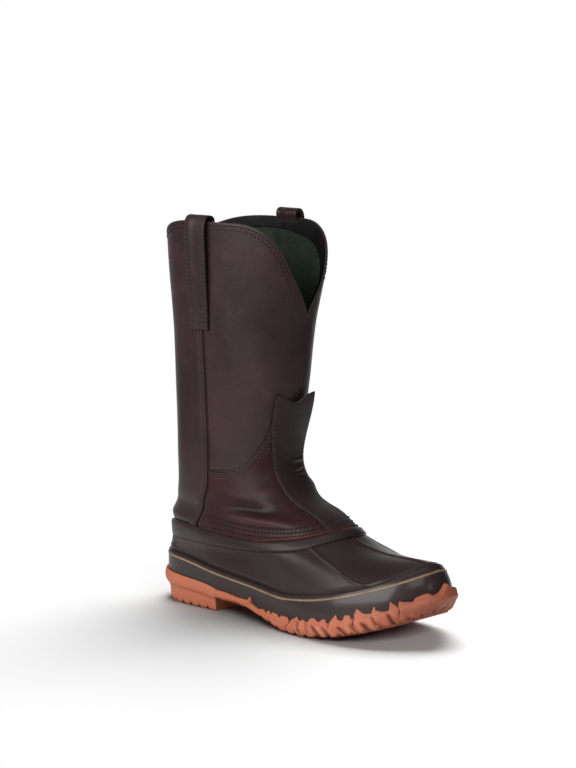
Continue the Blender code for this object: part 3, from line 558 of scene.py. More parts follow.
SHELL_WALL, RIM_GAP, FOXING_STEP = 0.0026, 0.0006, 0.0018
RUBBER_COLUMNS, WALL_ROWS, VAMP_ROWS, VAMP_ROW_POWER, VAMP_INSIDE_STEP = 281, 12, 64, 1.6, 7
RIDGE_HALF, RIDGE_HEIGHT, RIDGE_FOOT, RIDGE_POINTS = 0.0012, 0.0013, (0.0005, 0.005), 150
BEAD_HALF, BEAD_HEIGHT, BEAD_ABOVE_FOXING = 0.0009, 0.0004, 0.0034
FOXING_CHANNEL, FOXING_CHANNEL_HALF, BAND_CHANNEL, BAND_CHANNEL_HALF = 0.0005, 0.0014, 0.0004, 0.0012
SIDE_RIDGE = table(
    "up place",
    (0, 0.799), (0.067, 0.7851), (0.176, 0.7722), (0.277, 0.769), (0.429, 0.7722), (0.58, 0.7787), (0.731, 0.7851),
    (0.899, 0.8), (1, 0.806),
)
CENTRE_RIDGE = table("up place", (0, 0.976), (0.3, 0.996), (0.6, 1.006), (1, 1.002))
LEDGE_DROP, LEDGE_RISES = 0.0018, (0.262, 0.300)
HAND_WAVE = table(
    "x lift",
    (0, 0.0008), (0.056, 0.0009), (0.074, -0.0011), (0.092, -0.0022), (0.138, -0.0022), (0.16, -0.0015),
    (0.183, 0.0001), (0.208, 0.0008), (0.265, 0.0008), (0.295, 0.0002), (0.312, 0.0002),
)
BAND_STEP, BAND_THINNED, BAND_THINS = 0.0015, 0.75, (95, 128)
RIM = table(
    "angle height",
    (0, 0.083), (25, 0.0807), (46, 0.0766), (63, 0.0733), (82, 0.0711), (102, 0.072), (118, 0.0737), (130, 0.0737),
    (142, 0.0726), (155, 0.0706), (168, 0.0693), (180, 0.0688),
)
BAND = table(
    "angle height",
    (0, 0.0068), (40, 0.0067), (55, 0.0074), (78, 0.0078), (95, 0.0094), (115, 0.0118), (180, 0.012),
)
WALL_BELOW_SOLE_EDGE, WALL_BELOW_ROLL = 0.004, 0.0016
FOXING_ROLL = table(
    "lift out",
    (-0.001, -0.0001), (-0.0004, -0.0004), (0, -0.001), (0.0001, -0.0016), (-0.0002, -0.002),
)
BAND_ROLL = table(
    "up out",
    (0.02, 0.4), (0.06, 0.8), (0.12, 1), (0.4, 1), (0.65, 1), (0.82, 0.85), (0.93, 0.5), (1, 0),
)
BAND_LIP = table("lift out", (0.0005, 0.0022), (0.0002, 0.0012), (-0.0008, 0.0006))
SECTION_POWER = 2.25
SHAFT = table(
    "height back front half",
    (0.058, 0.0080, 0.2700, 0.0462),
    (0.070, 0.0080, 0.2210, 0.0450),
    (0.082, 0.0088, 0.2023, 0.0437),
    (0.092, 0.0113, 0.1854, 0.0431),
    (0.100, 0.0140, 0.1647, 0.0431),
    (0.112, 0.0164, 0.1481, 0.0433),
    (0.125, 0.0172, 0.1387, 0.0437),
    (0.140, 0.0175, 0.1360, 0.0442),
    (0.165, 0.0175, 0.1384, 0.0452),
    (0.200, 0.0165, 0.1445, 0.0470),
    (0.250, 0.0152, 0.1505, 0.0500),
    (0.300, 0.0108, 0.1600, 0.0534),
    (0.350, 0.0085, 0.1640, 0.0558),
)
FLARE, FLARE_ANGLE, FLARE_HEIGHTS = 0.0022, -48, (0.255, 0.325)


def shaft_point(angle, height):
    """Outer face of the leather: rounded ovals between a back and a front line, with 90 degrees on the outer side."""
    back, front, half = (read(SHAFT, "height", name, height) for name in ("back", "front", "half"))
    cosine = np.cos(np.radians(angle))
    sine = np.sin(np.radians(angle))
    radius = (np.abs(cosine) ** SECTION_POWER + np.abs(sine) ** SECTION_POWER) ** (-1 / SECTION_POWER)
    facing = np.clip(np.cos(np.radians(angle - FLARE_ANGLE)), 0, 1) ** 2
    flare = FLARE * blend(*FLARE_HEIGHTS, height) * facing
    flare_way = math.radians(FLARE_ANGLE)
    x = (back + front) / 2 + (front - back) / 2 * cosine * radius + flare * math.cos(flare_way)
    y = -half * sine * radius - flare * math.sin(flare_way)
    return np.stack([x, y, np.broadcast_to(height, x.shape)], axis=-1)


def shaft_slopes(angle, height):
    """Direction up the leather and its outward normal, of length one, by small differences."""
    rise, turn = 1e-4, 0.1
    up = unit(shaft_point(angle, height + rise) - shaft_point(angle, height - rise))
    around = shaft_point(angle - turn, height) - shaft_point(angle + turn, height)
    return up, unit(np.cross(around, up))


def on_shaft(angle, height, out):
    """Point at a distance from the leather's outer face, along its normal."""
    angle, height, out = np.broadcast_arrays(angle, height, out)
    return shaft_point(angle, height) + shaft_slopes(angle, height)[1] * out[..., None]


def rim_height(angle):
    """Upper edge of the rubber round the leather."""
    return read(RIM, "angle", "height", np.abs(angle))


def line_height(x, above):
    """A line pressed round the foxing: a height above the sole, with a slow wave from laying the rubber by hand."""
    return edge_height(x) + above + read(HAND_WAVE, "x", "lift", x)


def foxing_height(x):
    """Upper edge of the foxing, lower at the sides than round the toe."""
    return line_height(x, FOXING_ABOVE_SOLE) - LEDGE_DROP * (1 - blend(*LEDGE_RISES, x))


def round_ring(function):
    """Join what a function gives for the columns of both sides into one ring: heel, outside, toe, inside."""
    share = np.linspace(0, 1, RUBBER_COLUMNS)
    return np.concatenate([function(OUTER, share), function(INNER, share)[-2:0:-1]])


def wall_ring(height_of, out):
    """Ring on the foxing wall at a height that depends on the distance from the heel."""
    def half_ring(side, share):
        x = outline(side, share, SHELL_INSET)[0][:, 0]
        return foxing_wall(side, share, height_of(x), out)
    return round_ring(half_ring)


def rim_angles():
    """Angle on the leather's rim that each column of the rubber runs up to: the rim taken as one rounded oval."""
    def half_ring(side, share):
        rim_x = read(SHELL_FORM, "x", "rim_x", outline(side, share)[0][:, 0])
        back, front = SHELL_FORM["rim_x"][[0, -1]]
        along = np.clip((2 * rim_x - back - front) / (front - back), -1, 1)
        beside = (1 - np.abs(along) ** SECTION_POWER) ** (1 / SECTION_POWER)
        return -side * np.degrees(np.arctan2(beside, along))
    return round_ring(half_ring)


def vamp_rings(angles, band, rows):
    """Rings between foxing and band: each column is a cubic that leaves the foxing turned from the vertical."""
    def form(name):
        return round_ring(lambda side, share: read(
            SHELL_FORM, "x", name, outline(side, share, SHELL_INSET)[0][:, 0]))[:, None]

    foxing = wall_ring(foxing_height, -FOXING_STEP)
    high = rim_height(angles) - band
    collar = on_shaft(angles, high, RIM_GAP + SHELL_WALL)
    up, _ = shaft_slopes(angles, high)
    inwards = unit((collar - foxing) * np.array([1, 1, 0]))
    turn = np.radians(form("turn"))
    start = inwards * np.sin(turn) + np.array([0, 0, 1]) * np.cos(turn)
    span = np.linalg.norm(collar - foxing, axis=1)[:, None]
    low_handle = foxing + start * span * form("reach_low")
    high_handle = collar - up * span * form("reach_high")
    t = rows[:, None, None]
    made = ((1 - t) ** 3 * foxing + 3 * t * (1 - t) ** 2 * low_handle
            + 3 * t * t * (1 - t) * high_handle + t ** 3 * collar)
    around = np.roll(made, -1, axis=1) - np.roll(made, 1, axis=1)
    return made, unit(np.cross(around, np.gradient(made, axis=0))), span[:, 0]


def ridge_relief(surface, rows, places, line, mirrored):
    """Raised ridge: a bell of the distance from a line on the vamp, given by its place round the ring at each row."""
    up = np.linspace(0, 1, RIDGE_POINTS)
    place = read(line, "up", "place", up)
    row = np.interp(up, rows, np.arange(len(rows)))
    column = np.interp(2 - place if mirrored else place, places, np.arange(len(places)))
    low, left = np.minimum(row.astype(int), len(rows) - 2), np.minimum(column.astype(int), len(places) - 2)
    a, b = (row - low)[:, None], (column - left)[:, None]
    path = ((1 - a) * ((1 - b) * surface[low, left] + b * surface[low, left + 1])
            + a * ((1 - b) * surface[low + 1, left] + b * surface[low + 1, left + 1]))
    away = np.array([np.linalg.norm(ring[:, None] - path, axis=2).min(axis=1) for ring in surface])
    return RIDGE_HEIGHT * bell(away, RIDGE_HALF)


def ring_quads(points):
    """Quads of a grid of points whose rows and columns both close into rings."""
    number = numbers(points)
    return quads_of(np.vstack([number, number[:1]]), wrap=True)


angles = rim_angles()
rim = rim_height(angles)
band = read(BAND, "angle", "height", np.abs(angles))
band_step = BAND_STEP * (1 - BAND_THINNED * blend(*BAND_THINS, np.abs(angles)))
vamp_rows = np.linspace(0, 1, VAMP_ROWS) ** VAMP_ROW_POWER
vamp, vamp_normals, vamp_span = vamp_rings(angles, band, vamp_rows)
from_foxing = vamp_rows[:, None] * vamp_span
from_band = (1 - vamp_rows[:, None]) * vamp_span
ring_place = round_ring(lambda side, share: share if side == OUTER else 2 - share)
ridge = np.zeros(vamp.shape[:2])
for line, mirrored in ((SIDE_RIDGE, False), (SIDE_RIDGE, True), (CENTRE_RIDGE, False)):
    ridge = np.maximum(ridge, ridge_relief(vamp, vamp_rows, ring_place, line, mirrored))
ridge = ridge * blend(*RIDGE_FOOT, from_foxing)
bead = BEAD_HEIGHT * bell(from_foxing - BEAD_ABOVE_FOXING, BEAD_HALF)
channel = FOXING_CHANNEL * bell(from_foxing, FOXING_CHANNEL_HALF) + BAND_CHANNEL * bell(from_band, BAND_CHANNEL_HALF)
vamp_lift = ridge + bead - channel
shell_rings = [wall_ring(lambda x: plate_height(x) + GAP, 0.0)]
for share in np.linspace(0, 1, WALL_ROWS):
    shell_rings.append(wall_ring(
        lambda x: (1 - share) * (edge_height(x) - WALL_BELOW_SOLE_EDGE)
        + share * (foxing_height(x) - WALL_BELOW_ROLL), 0.0))
for lift, out in zip(*FOXING_ROLL.values()):
    shell_rings.append(wall_ring(lambda x: foxing_height(x) + lift, out))
vamp_start = len(shell_rings)
shell_rings += list(vamp + vamp_normals * vamp_lift[..., None])
for up, out in zip(*BAND_ROLL.values()):
    shell_rings.append(on_shaft(angles, rim - band * (1 - up), RIM_GAP + SHELL_WALL + band_step * out))
shell_rings += [on_shaft(angles, rim + lift, out) for lift, out in zip(*BAND_LIP.values())]
shell_rings += list((vamp - vamp_normals * SHELL_WALL)[::-VAMP_INSIDE_STEP])
shell_rings += [wall_ring(edge_height, -FOXING_STEP - SHELL_WALL)]
shell_rings += [wall_ring(lambda x: plate_height(x) + GAP, -FOXING_STEP - SHELL_WALL)]
shell_points = np.array(shell_rings)
shell_along = round_ring(lambda side, share: outline(side, share)[0][:, 0]) * 1000
shell_along = np.broadcast_to(shell_along, shell_points.shape[:2])
shell_lift = np.zeros(shell_points.shape[:2])
shell_lift[vamp_start:vamp_start + VAMP_ROWS] = vamp_lift
shell_polish = np.zeros(shell_points.shape[:2])
shell_polish[:vamp_start] = 1

BROWN = (0.0225, 0.0152, 0.0138, 1)
BROWN_GREY = (0.0390, 0.0290, 0.0268, 1)
BROWN_CHANNEL_SHADE = (0.0130, 0.0100, 0.0090, 1)
MOULD_LINES, MOULD_LINE_HALF, POLISH = (60.0, 72.5), 0.55, 0.25

brown_rubber, shader, place = finish("brown_rubber", Specular_IOR_Level=0.14, Coat_Roughness=0.16)
lift = place.value("lift")
along = place.value("along")
cloud = place.noise(14.0, 4.0)
grain = place.noise(900.0, 2.0)
moulded = along.line(MOULD_LINES[0], MOULD_LINE_HALF) + along.line(MOULD_LINES[1], MOULD_LINE_HALF)
# Cloudy bloom and the mould lines are the rubber's own colour; the raised ridges and the bead are painted paler:
# painted highlight.
bloom_and_ridge_highlight = cloud.range(0.42, 0.75) * 0.45 + lift.range(0.0002, 0.0011) * 0.6 + moulded * 0.3
# The channels along the foxing and under the band are painted darker: painted shade.
rubber_colour = lift.range(-0.0001, -0.0008).tint(bloom_and_ridge_highlight.tint(BROWN, BROWN_GREY), BROWN_CHANNEL_SHADE)
feed(shader, Base_Color=rubber_colour, Roughness=cloud.range(0.3, 0.7, 0.36, 0.48),
     Coat_Weight=cloud.range(0.35, 0.65, 0.11, 0.05) + place.value("polish") * POLISH,
     height=grain * 0.035 + moulded * 0.16 + cloud * 0.4)
piece("rubber_bottom", shell_points, ring_quads(shell_points), brown_rubber, "shell_rubber", ["rubber_shell"],
      along=shell_along, lift=shell_lift, polish=shell_polish)

# Foxing stripe: a thin cord of tan rubber that runs once round the boot, a little below the foxing's upper edge. It
# is laid by hand on the raw foxing and pressed in, and the heat that cures the boot bonds it.

STRIPE_ABOVE_SOLE, STRIPE_HALF, STRIPE_OUT, STRIPE_SUNK = 0.0145, 0.0009, 0.0006, 0.0001
STRIPE_ROWS, STRIPE_POWER = 9, 0.7
STRIPE_PALE, STRIPE_SOILED = (0.225, 0.142, 0.086, 1), (0.110, 0.070, 0.046, 1)

stripe_turn = np.linspace(0, np.pi, STRIPE_ROWS)
stripe_lifts = STRIPE_ABOVE_SOLE - STRIPE_HALF * np.cos(stripe_turn)
stripe_outs = STRIPE_OUT * np.sin(stripe_turn) ** STRIPE_POWER
stripe_points = np.array([wall_ring(lambda x: line_height(x, lift), out - STRIPE_SUNK)
                          for lift, out in zip(stripe_lifts, stripe_outs)])
tan_rubber, shader, place = finish("tan_rubber", Specular_IOR_Level=0.4)
soil = place.noise(70.0, 4.0)
feed(shader, Base_Color=soil.range(0.35, 0.8).tint(STRIPE_PALE, STRIPE_SOILED),
     Roughness=soil.range(0.3, 0.7, 0.45, 0.6), height=soil * 0.1)
piece("tan_stripe", stripe_points, ring_quads(stripe_points), tan_rubber, "stripe_rubber", ["foxing_stripe"],
      sharp=60)

# Leather leg: a front and a back of oiled burgundy hide, closed at the side seams and cut to a deep V in front. Its
# foot is sewn inside the rubber band, and wear has set soft troughs and ridges round the ankle.

LEATHER, TUCK = 0.0022, 0.007
COLLAR_TURN, COLLAR_DROP, COLLAR_DROPS, COLLAR_RISES = -6.5, 0.0030, (10, 60), (180, 225)
COLLAR = table(
    "angle height",
    (0, 0.2655), (16, 0.2868), (25.5, 0.3004), (38, 0.3222), (51.5, 0.3372), (63, 0.343), (78, 0.3442),
    (110, 0.3442), (128, 0.3412), (142, 0.3362), (158, 0.3308), (180, 0.3282),
)
SEAM = table(
    "height angle",
    (0.07, 118), (0.094, 105.9), (0.108, 95.8), (0.13, 87.5), (0.155, 87.3), (0.19, 90), (0.255, 92.8),
)
ARC_PER_DEGREE = 0.00095
CREASES = table(
    "angle height tilt long wide deep",
    (164, 0.0788, 0, 0.055, 0.0056, 0.0015),
    (-164, 0.0788, 0, 0.055, 0.0056, 0.0015),
    (158, 0.0920, 0, 0.045, 0.0050, -0.0006),
    (-158, 0.0920, 0, 0.045, 0.0050, -0.0006),
    (61, 0.0968, 0, 0.021, 0.0050, -0.0034),
    (40, 0.1100, -14, 0.016, 0.0052, 0.0012),
    (68, 0.0882, 3, 0.020, 0.0038, 0.0024),
    (76, 0.1065, 6, 0.014, 0.0050, 0.0006),
    (-56, 0.0975, 5, 0.022, 0.0050, -0.0023),
    (-42, 0.1100, 14, 0.014, 0.0046, 0.0016),
    (-66, 0.0885, 0, 0.020, 0.0048, 0.0011),
    (-14, 0.1355, 4, 0.009, 0.0014, 0.0006),
    (-13, 0.1322, 2, 0.010, 0.0012, -0.0008),
    (-14, 0.1285, -3, 0.009, 0.0021, 0.0012),
    (-8, 0.1243, 3, 0.010, 0.0013, -0.0011),
    (-12, 0.1200, -4, 0.010, 0.0024, 0.0010),
    (70, 0.1900, 74, 0.050, 0.016, -0.0010),
    (122, 0.1600, 84, 0.050, 0.014, 0.0008),
    (40, 0.2300, 76, 0.040, 0.015, 0.0008),
    (-80, 0.1800, 80, 0.060, 0.016, -0.0010),
    (-120, 0.2300, 84, 0.050, 0.015, 0.0008),
    (176, 0.2000, 86, 0.060, 0.020, 0.0007),
    (58, 0.3048, -83, 0.012, 0.0008, -0.0005),
)
VAMP_TOP = table(
    "angle height",
    (0, 0.186), (15, 0.1855), (21, 0.18), (26, 0.1697), (30.5, 0.157), (37.5, 0.146), (45, 0.137), (54.5, 0.1306),
    (68.5, 0.1269), (90, 0.1262),
)
PANEL_END, PANEL_ARC_PER_DEGREE = 86, 0.0011
LEG_COLUMNS, LEG_ROWS, LEG_INSIDE_ROWS, FAR_MM = 264, 170, 26, 50.0
COLLAR_ROLL_START = 0.0007
COLLAR_ROLL = table(
    "lift out",
    (-0.0003, -0.00015), (-0.00005, -0.0005), (0, -0.0011), (-0.00005, -0.0017), (-0.0003, -0.00205),
)
SEAM_BULGE, SEAM_BULGE_AWAY, SEAM_BULGE_HALF = 0.0015, 0.0055, 0.0038


def turned(angle, start):
    """Turn from a start to an angle, from -180 to 180 degrees."""
    return (angle - start + 180) % 360 - 180


def collar_height(angle):
    """Upper edge of the leather: a smooth curve of the turn from the notch, lower along the inner side."""
    inwards = -angle % 360
    drop = COLLAR_DROP * blend(*COLLAR_DROPS, inwards) * (1 - blend(*COLLAR_RISES, inwards))
    return read(COLLAR, "angle", "height", np.abs(turned(angle, COLLAR_TURN))) - drop


def seam_angle(height):
    """Angle from the front to the side seam, a smooth curve of the height."""
    return read(SEAM, "height", "angle", height)


def seam_distance(angle, height):
    """Distance in metres from the side seam along the leather, positive towards the back."""
    per_degree = np.linalg.norm(shaft_point(angle + 0.5, height) - shaft_point(angle - 0.5, height), axis=-1)
    return (np.abs(angle) - seam_angle(height)) * per_degree


def collar_distance(angle, height):
    """Distance in metres from the collar's edge along the leather: the drop, less where the edge is steep."""
    edge = collar_height(angle)
    run = np.linalg.norm((shaft_point(angle + 0.5, edge) - shaft_point(angle - 0.5, edge))[..., :2], axis=-1)
    slope = (collar_height(angle + 0.5) - collar_height(angle - 0.5)) / run
    return (edge - height) / np.sqrt(1 + slope ** 2)


def panel_top(angle):
    """Top edge of the vamp panel, a smooth curve of the angle from the front."""
    return read(VAMP_TOP, "angle", "height", angle)


def above_panel(angle, height):
    """Distance in metres above the vamp panel's top edge: the rise, less where the edge is steep."""
    slope = (panel_top(angle + 0.5) - panel_top(angle - 0.5)) / PANEL_ARC_PER_DEGREE
    return (height - panel_top(angle)) / np.sqrt(1 + slope ** 2)


def creases(angle, height):
    """Troughs and ridges of the worn leather: a sum of bell shapes, each long one way and narrow the other."""
    total = np.zeros(np.broadcast(angle, height).shape)
    for at, level, tilt, long, wide, deep in zip(*CREASES.values()):
        u = turned(angle, at) * ARC_PER_DEGREE
        v = height - level
        cosine, sine = math.cos(math.radians(tilt)), math.sin(math.radians(tilt))
        total = total + deep * bell(u * cosine + v * sine, long) * bell(v * cosine - u * sine, wide)
    return total + SEAM_BULGE * bell(seam_distance(angle, height) - SEAM_BULGE_AWAY, SEAM_BULGE_HALF)


def on_leather(angle, height, out):
    """Point at a distance from the creased leather."""
    return on_shaft(angle, height, out + creases(angle, height))


LEATHER_PAINTED_SHADE = (0.008, 0.005, 0.005, 1)


def leather(name, deep, warm, pale, lines=(), roughness=(0.36, 0.50), gloss=1.0):
    """Oiled leather: cloudy colour, paler where the mottle rubs and on crease ridges (painted highlight), darker in
    crease hollows (painted shade), fine cell grain, and pressed lines at distances that the mesh keeps, painted
    darker (painted shade)."""
    material, shader, place = finish(name, Specular_IOR_Level=0.19 * gloss, Coat_Roughness=0.30)
    cloud = place.noise(11.0, 3.0)
    mottle = place.noise(48.0, 4.0, 0.6)
    cells = place.make("TexVoronoi", {"feature": "DISTANCE_TO_EDGE"}, {"Vector": place, "Scale": 620.0}, "Distance")
    pores = place.noise(1500.0, 2.0)
    base = (cloud * 0.65 + mottle * 0.35).range(0.36, 0.66).tint(deep, warm)
    worn = place.value("worn")
    # The mottle rubs paler at random, and the crease ridges are painted paler: painted highlight. The crease hollows
    # are painted darker: painted shade.
    rub_and_crease_highlight = mottle.range(0.55, 0.85) * 0.5 + worn.range(0.3, 1.8) * 0.5
    colour = (worn.range(-0.8, -2.8) * 0.55).tint(rub_and_crease_highlight.tint(base, pale), LEATHER_PAINTED_SHADE)
    height = cells.range(0.0, 0.25) * 0.045 + pores * 0.03 + mottle * 0.14
    # Each pressed line is painted darker along its length: painted shade in the groove or along the edge.
    for key, at, half, depth, line_shade in lines:
        pressed = place.value(key).line(at, half)
        height = height - pressed * depth
        colour = (pressed * line_shade).tint(colour, LEATHER_PAINTED_SHADE)
    feed(shader, Base_Color=colour, Roughness=(cloud * 0.5 + mottle * 0.5).range(0.35, 0.65, *roughness),
         Coat_Weight=mottle.range(0.4, 0.7, 0.10 * gloss, 0.02 * gloss), height=height)
    return material


LEG_DEEP = (0.0240, 0.0140, 0.0146, 1)
LEG_WARM = (0.0365, 0.0186, 0.0190, 1)
LEG_PALE = (0.0520, 0.0345, 0.0340, 1)
# The leg's pressed lines carry painted shade: in the collar's stitch grooves, beside the seam cord and in the crevice
# just above the vamp panel's top edge.
leg_leather = leather("leg_leather", LEG_DEEP, LEG_WARM, LEG_PALE, (
    ("edge", 3.1, 0.8, 0.16, 0.10), ("edge", 6.7, 0.8, 0.16, 0.10), ("seam", 1.9, 0.9, 0.34, 0.60),
    ("seam", -2.0, 1.3, 0.34, 0.95), ("panel", 0.6, 1.3, 0.20, 0.70)))

leg_angles = turned(COLLAR_TURN + np.linspace(-180, 180, LEG_COLUMNS, endpoint=False), 0)
leg_low = rim_height(leg_angles) - TUCK
leg_high = collar_height(leg_angles)
leg_rise = leg_high - COLLAR_ROLL_START - leg_low
leg_heights = leg_low + np.linspace(0, 1, LEG_ROWS)[:, None] * leg_rise
inside_heights = leg_low + np.linspace(1, 0, LEG_INSIDE_ROWS)[:, None] * leg_rise
leg_rows = [on_leather(leg_angles, leg_heights, 0.0)]
for lift, out in zip(*COLLAR_ROLL.values()):
    leg_rows.append(on_leather(leg_angles, leg_high + lift, out)[None])
leg_points = np.concatenate([*leg_rows, on_leather(leg_angles, inside_heights, -LEATHER)])


def on_outside(distance):
    """Distances on the leg's outer face in millimetres, with a far one everywhere else."""
    kept = np.full(leg_points.shape[:2], FAR_MM)
    kept[:LEG_ROWS] = distance * 1000
    return kept


# The distance above the vamp panel's top edge places the painted shade of its crevice.
from_panel = np.where(np.abs(leg_angles) < PANEL_END, above_panel(np.abs(leg_angles), leg_heights), FAR_MM / 1000)
piece("leather_leg", leg_points, ring_quads(leg_points), leg_leather, "shaft_leather", ["shaft"],
      edge=on_outside(collar_distance(leg_angles, leg_heights)),
      seam=on_outside(seam_distance(leg_angles, leg_heights)), panel=on_outside(from_panel))

# Felt lining: dark green felt, glued inside the leg from the rubber bottom up to the collar. A black facing of coated
# cloth covers its upper edge, sewn on round the collar and down both sides of the V.

FELT, FELT_GAP, FELT_ROWS, FELT_BELOW_COLLAR, FELT_BELOW_LEG = 0.0010, 0.0001, 70, 0.0030, 0.004
FELT_FOLD, FELT_FOLD_STARTS, FELT_FOLD_ENDS, FELT_WAVES = 0.0016, (0.07, 0.14), (0.8, 0.6), ((7, 9), (3, -5))
FELT_DARK, FELT_GREEN = (0.0060, 0.0074, 0.0062, 1), (0.0260, 0.0345, 0.0255, 1)
FACING, FACING_ROWS, FACING_BELOW_COLLAR, FACING_LONGEST = 0.0009, 22, 0.0006, 0.034
FACING_DEPTH, FACING_FLAP, FACING_FLAP_TURNS = 0.0105, 0.0065, (95, 55)
FACING_BLACK, FACING_DUSTY = (0.0040, 0.0040, 0.0040, 1), (0.0090, 0.0086, 0.0086, 1)
PROBE, SLEEVE_EDGE_POWER = 0.01, 0.3


def sleeve(high, low, near, far, rows):
    """Hollow sleeve inside the leather, down its near face and up its far one: its half thickness is a power of a
    sine of the way down, so that both edges close round."""
    heights = high + np.linspace(0, 1, rows)[:, None] * (low - high)
    middle = (near + far) / 2
    half = (near - far) / 2 * np.sin(np.linspace(0, np.pi, rows))[:, None] ** SLEEVE_EDGE_POWER
    points = np.concatenate([on_leather(leg_angles, heights, middle + half),
                             on_leather(leg_angles, heights[::-1], (middle - half)[::-1])])
    return points, ring_quads(points)


def collar_drop(angle, away):
    """Drop from the collar's edge to a line that keeps a distance from it along the leather."""
    return away * PROBE / collar_distance(angle, collar_height(angle) - PROBE)


green_felt, shader, place = finish("green_felt", Roughness=0.95, Specular_IOR_Level=0.1, Sheen_Weight=0.15,
                                   Sheen_Roughness=0.6, Sheen_Tint=(0.25, 0.42, 0.28, 1))
fibre = place.noise(650.0, 4.0, 0.7)
nap = place.noise(38.0, 4.0)
# The felt is painted darker lower down inside the leg: painted shade where little light reaches.
depth_shade = place.axis("Z").range(0.252, 0.300, 0.12, 1.0)
nap_and_depth_shade = (fibre * 0.5 + nap * 0.5).range(0.3, 0.7) * depth_shade
feed(shader, Base_Color=nap_and_depth_shade.tint(FELT_DARK, FELT_GREEN), height=fibre * 0.35 + nap * 0.5)
felt_share = np.linspace(0, 1, FELT_ROWS)[:, None]
fold_waves = [np.sin(np.radians(turns * leg_angles) + slant * felt_share) for turns, slant in FELT_WAVES]
felt_fold = FELT_FOLD * blend(0.0, 0.9, np.prod(fold_waves, axis=0)) * blend(*FELT_FOLD_STARTS, felt_share)
felt_back = -LEATHER - felt_fold * blend(*FELT_FOLD_ENDS, felt_share)
felt_points, felt_quads = sleeve(
    leg_high - FELT_BELOW_COLLAR, leg_low - FELT_BELOW_LEG, felt_back - FELT_GAP, felt_back - FELT, FELT_ROWS)
piece("felt_lining", felt_points, felt_quads, green_felt, "footbed_felt")

black_facing, shader, place = finish("black_facing", Specular_IOR_Level=0.12)
pebble = place.make("TexVoronoi", {"feature": "DISTANCE_TO_EDGE"}, {"Vector": place, "Scale": 700.0}, "Distance")
dust = place.noise(60.0, 4.0)
feed(shader, Base_Color=dust.range(0.4, 0.8).tint(FACING_BLACK, FACING_DUSTY),
     Roughness=dust.range(0.3, 0.7, 0.5, 0.7), height=pebble.range(0, 0.3) * 0.06 + dust * 0.1)
flap = FACING_FLAP * blend(*FACING_FLAP_TURNS, np.abs(turned(leg_angles, COLLAR_TURN)))
facing_drop = np.minimum(collar_drop(leg_angles, FACING_DEPTH + flap), FACING_LONGEST)
facing_points, facing_quads = sleeve(
    leg_high - FACING_BELOW_COLLAR, leg_high - facing_drop, FELT_GAP - LEATHER - FELT, -LEATHER - FELT - FACING,
    FACING_ROWS)
piece("collar_facing", facing_points, facing_quads, black_facing, "strap_leather")

# Vamp panel: a second, redder layer of leather over the front of the ankle. Its curved top edge is sewn down with
# a double row, and its foot goes under the rubber band with three rows above it.

OVERLAY, OVERLAY_BASE, EDGE_ROUND, EDGE_STEPS = 0.0014, 0.0002, 0.0011, (0, 0.12, 0.35, 0.65, 1)
PANEL_SPAN, PANEL_RISE, PANEL_COLUMNS, PANEL_ROWS = 0.19, 0.07, 150, 84
PANEL_SEAM_CLEARANCE, PANEL_TUCK, PANEL_SIDE_PER_DEGREE = 2.2, 0.003, 0.0010
FORE_AND_AFT, FORE_AND_AFT_SPREAD = (48, 92), (1.08, 0.63)


def edged(count, span):
    """Places from 0 to 1, even in the middle and closer at the two rounded edges."""
    close = EDGE_ROUND / span * np.array(EDGE_STEPS)
    return np.concatenate([close, np.linspace(close[-1], 1 - close[-1], count)[1:-1], 1 - close[::-1]])


def sewn_sheet(place_at, under, thick, edge):
    """Sheet of leather: its face rises from its border by a quarter round, its back lies flat, its foot is cut."""
    face = under + thick * np.sqrt(1 - (1 - np.clip(edge / EDGE_ROUND, 0, 1)) ** 2)
    points = np.concatenate([place_at(face), place_at(np.broadcast_to(under, face.shape))])
    sheet = numbers(points).reshape(2, *face.shape)
    return points, np.concatenate([quads_of(sheet), quads_of(sheet[:, 0])])


def both_faces(distance):
    """Distances on a sheet in millimetres, for its face and its back."""
    return np.tile(distance * 1000, (2, 1))


vamp_across = 2 * edged(PANEL_COLUMNS, PANEL_SPAN) - 1
vamp_up = edged(PANEL_ROWS, PANEL_RISE)[:, None]
seam_low, seam_high = rim_height(SEAM["angle"][0]), VAMP_TOP["height"][-1]
vamp_side = seam_angle(seam_low + vamp_up * (seam_high - seam_low)) - PANEL_SEAM_CLEARANCE
vamp_angle = vamp_across * vamp_side
vamp_low = rim_height(vamp_angle) - PANEL_TUCK
vamp_height = vamp_low + vamp_up * (panel_top(np.abs(vamp_angle)) - vamp_low)
vamp_top_away = -above_panel(np.abs(vamp_angle), vamp_height)
vamp_side_away = (1 - np.abs(vamp_across)) * vamp_side * PANEL_SIDE_PER_DEGREE
# The panel's pressed lines carry painted shade in its stitch grooves and along its top and side edges; its crease
# heights give painted highlight on the ridges and painted shade in the hollows.
vamp_leather = leather(
    "vamp_leather", (0.0222, 0.0090, 0.0099, 1), (0.0370, 0.0128, 0.0138, 1), (0.0640, 0.0285, 0.0295, 1),
    (("top", 3.0, 0.7, 0.14, 0.06), ("top", 5.6, 0.7, 0.14, 0.06), ("low", 2.6, 0.9, 0.22, 0.20),
     ("low", 5.6, 0.9, 0.22, 0.20), ("low", 8.6, 0.9, 0.22, 0.20), ("top", 0.0, 1.1, 0.0, 0.85),
     ("side", 0.0, 1.6, 0.0, 0.95)), (0.44, 0.58), 0.58)
vamp_sheet, vamp_quads = sewn_sheet(
    lambda out: on_leather(vamp_angle, vamp_height, out), OVERLAY_BASE, OVERLAY,
    np.minimum(vamp_top_away, vamp_side_away))
vamp_low_away = (vamp_height - rim_height(vamp_angle)) * np.interp(
    np.abs(vamp_angle), FORE_AND_AFT, FORE_AND_AFT_SPREAD)
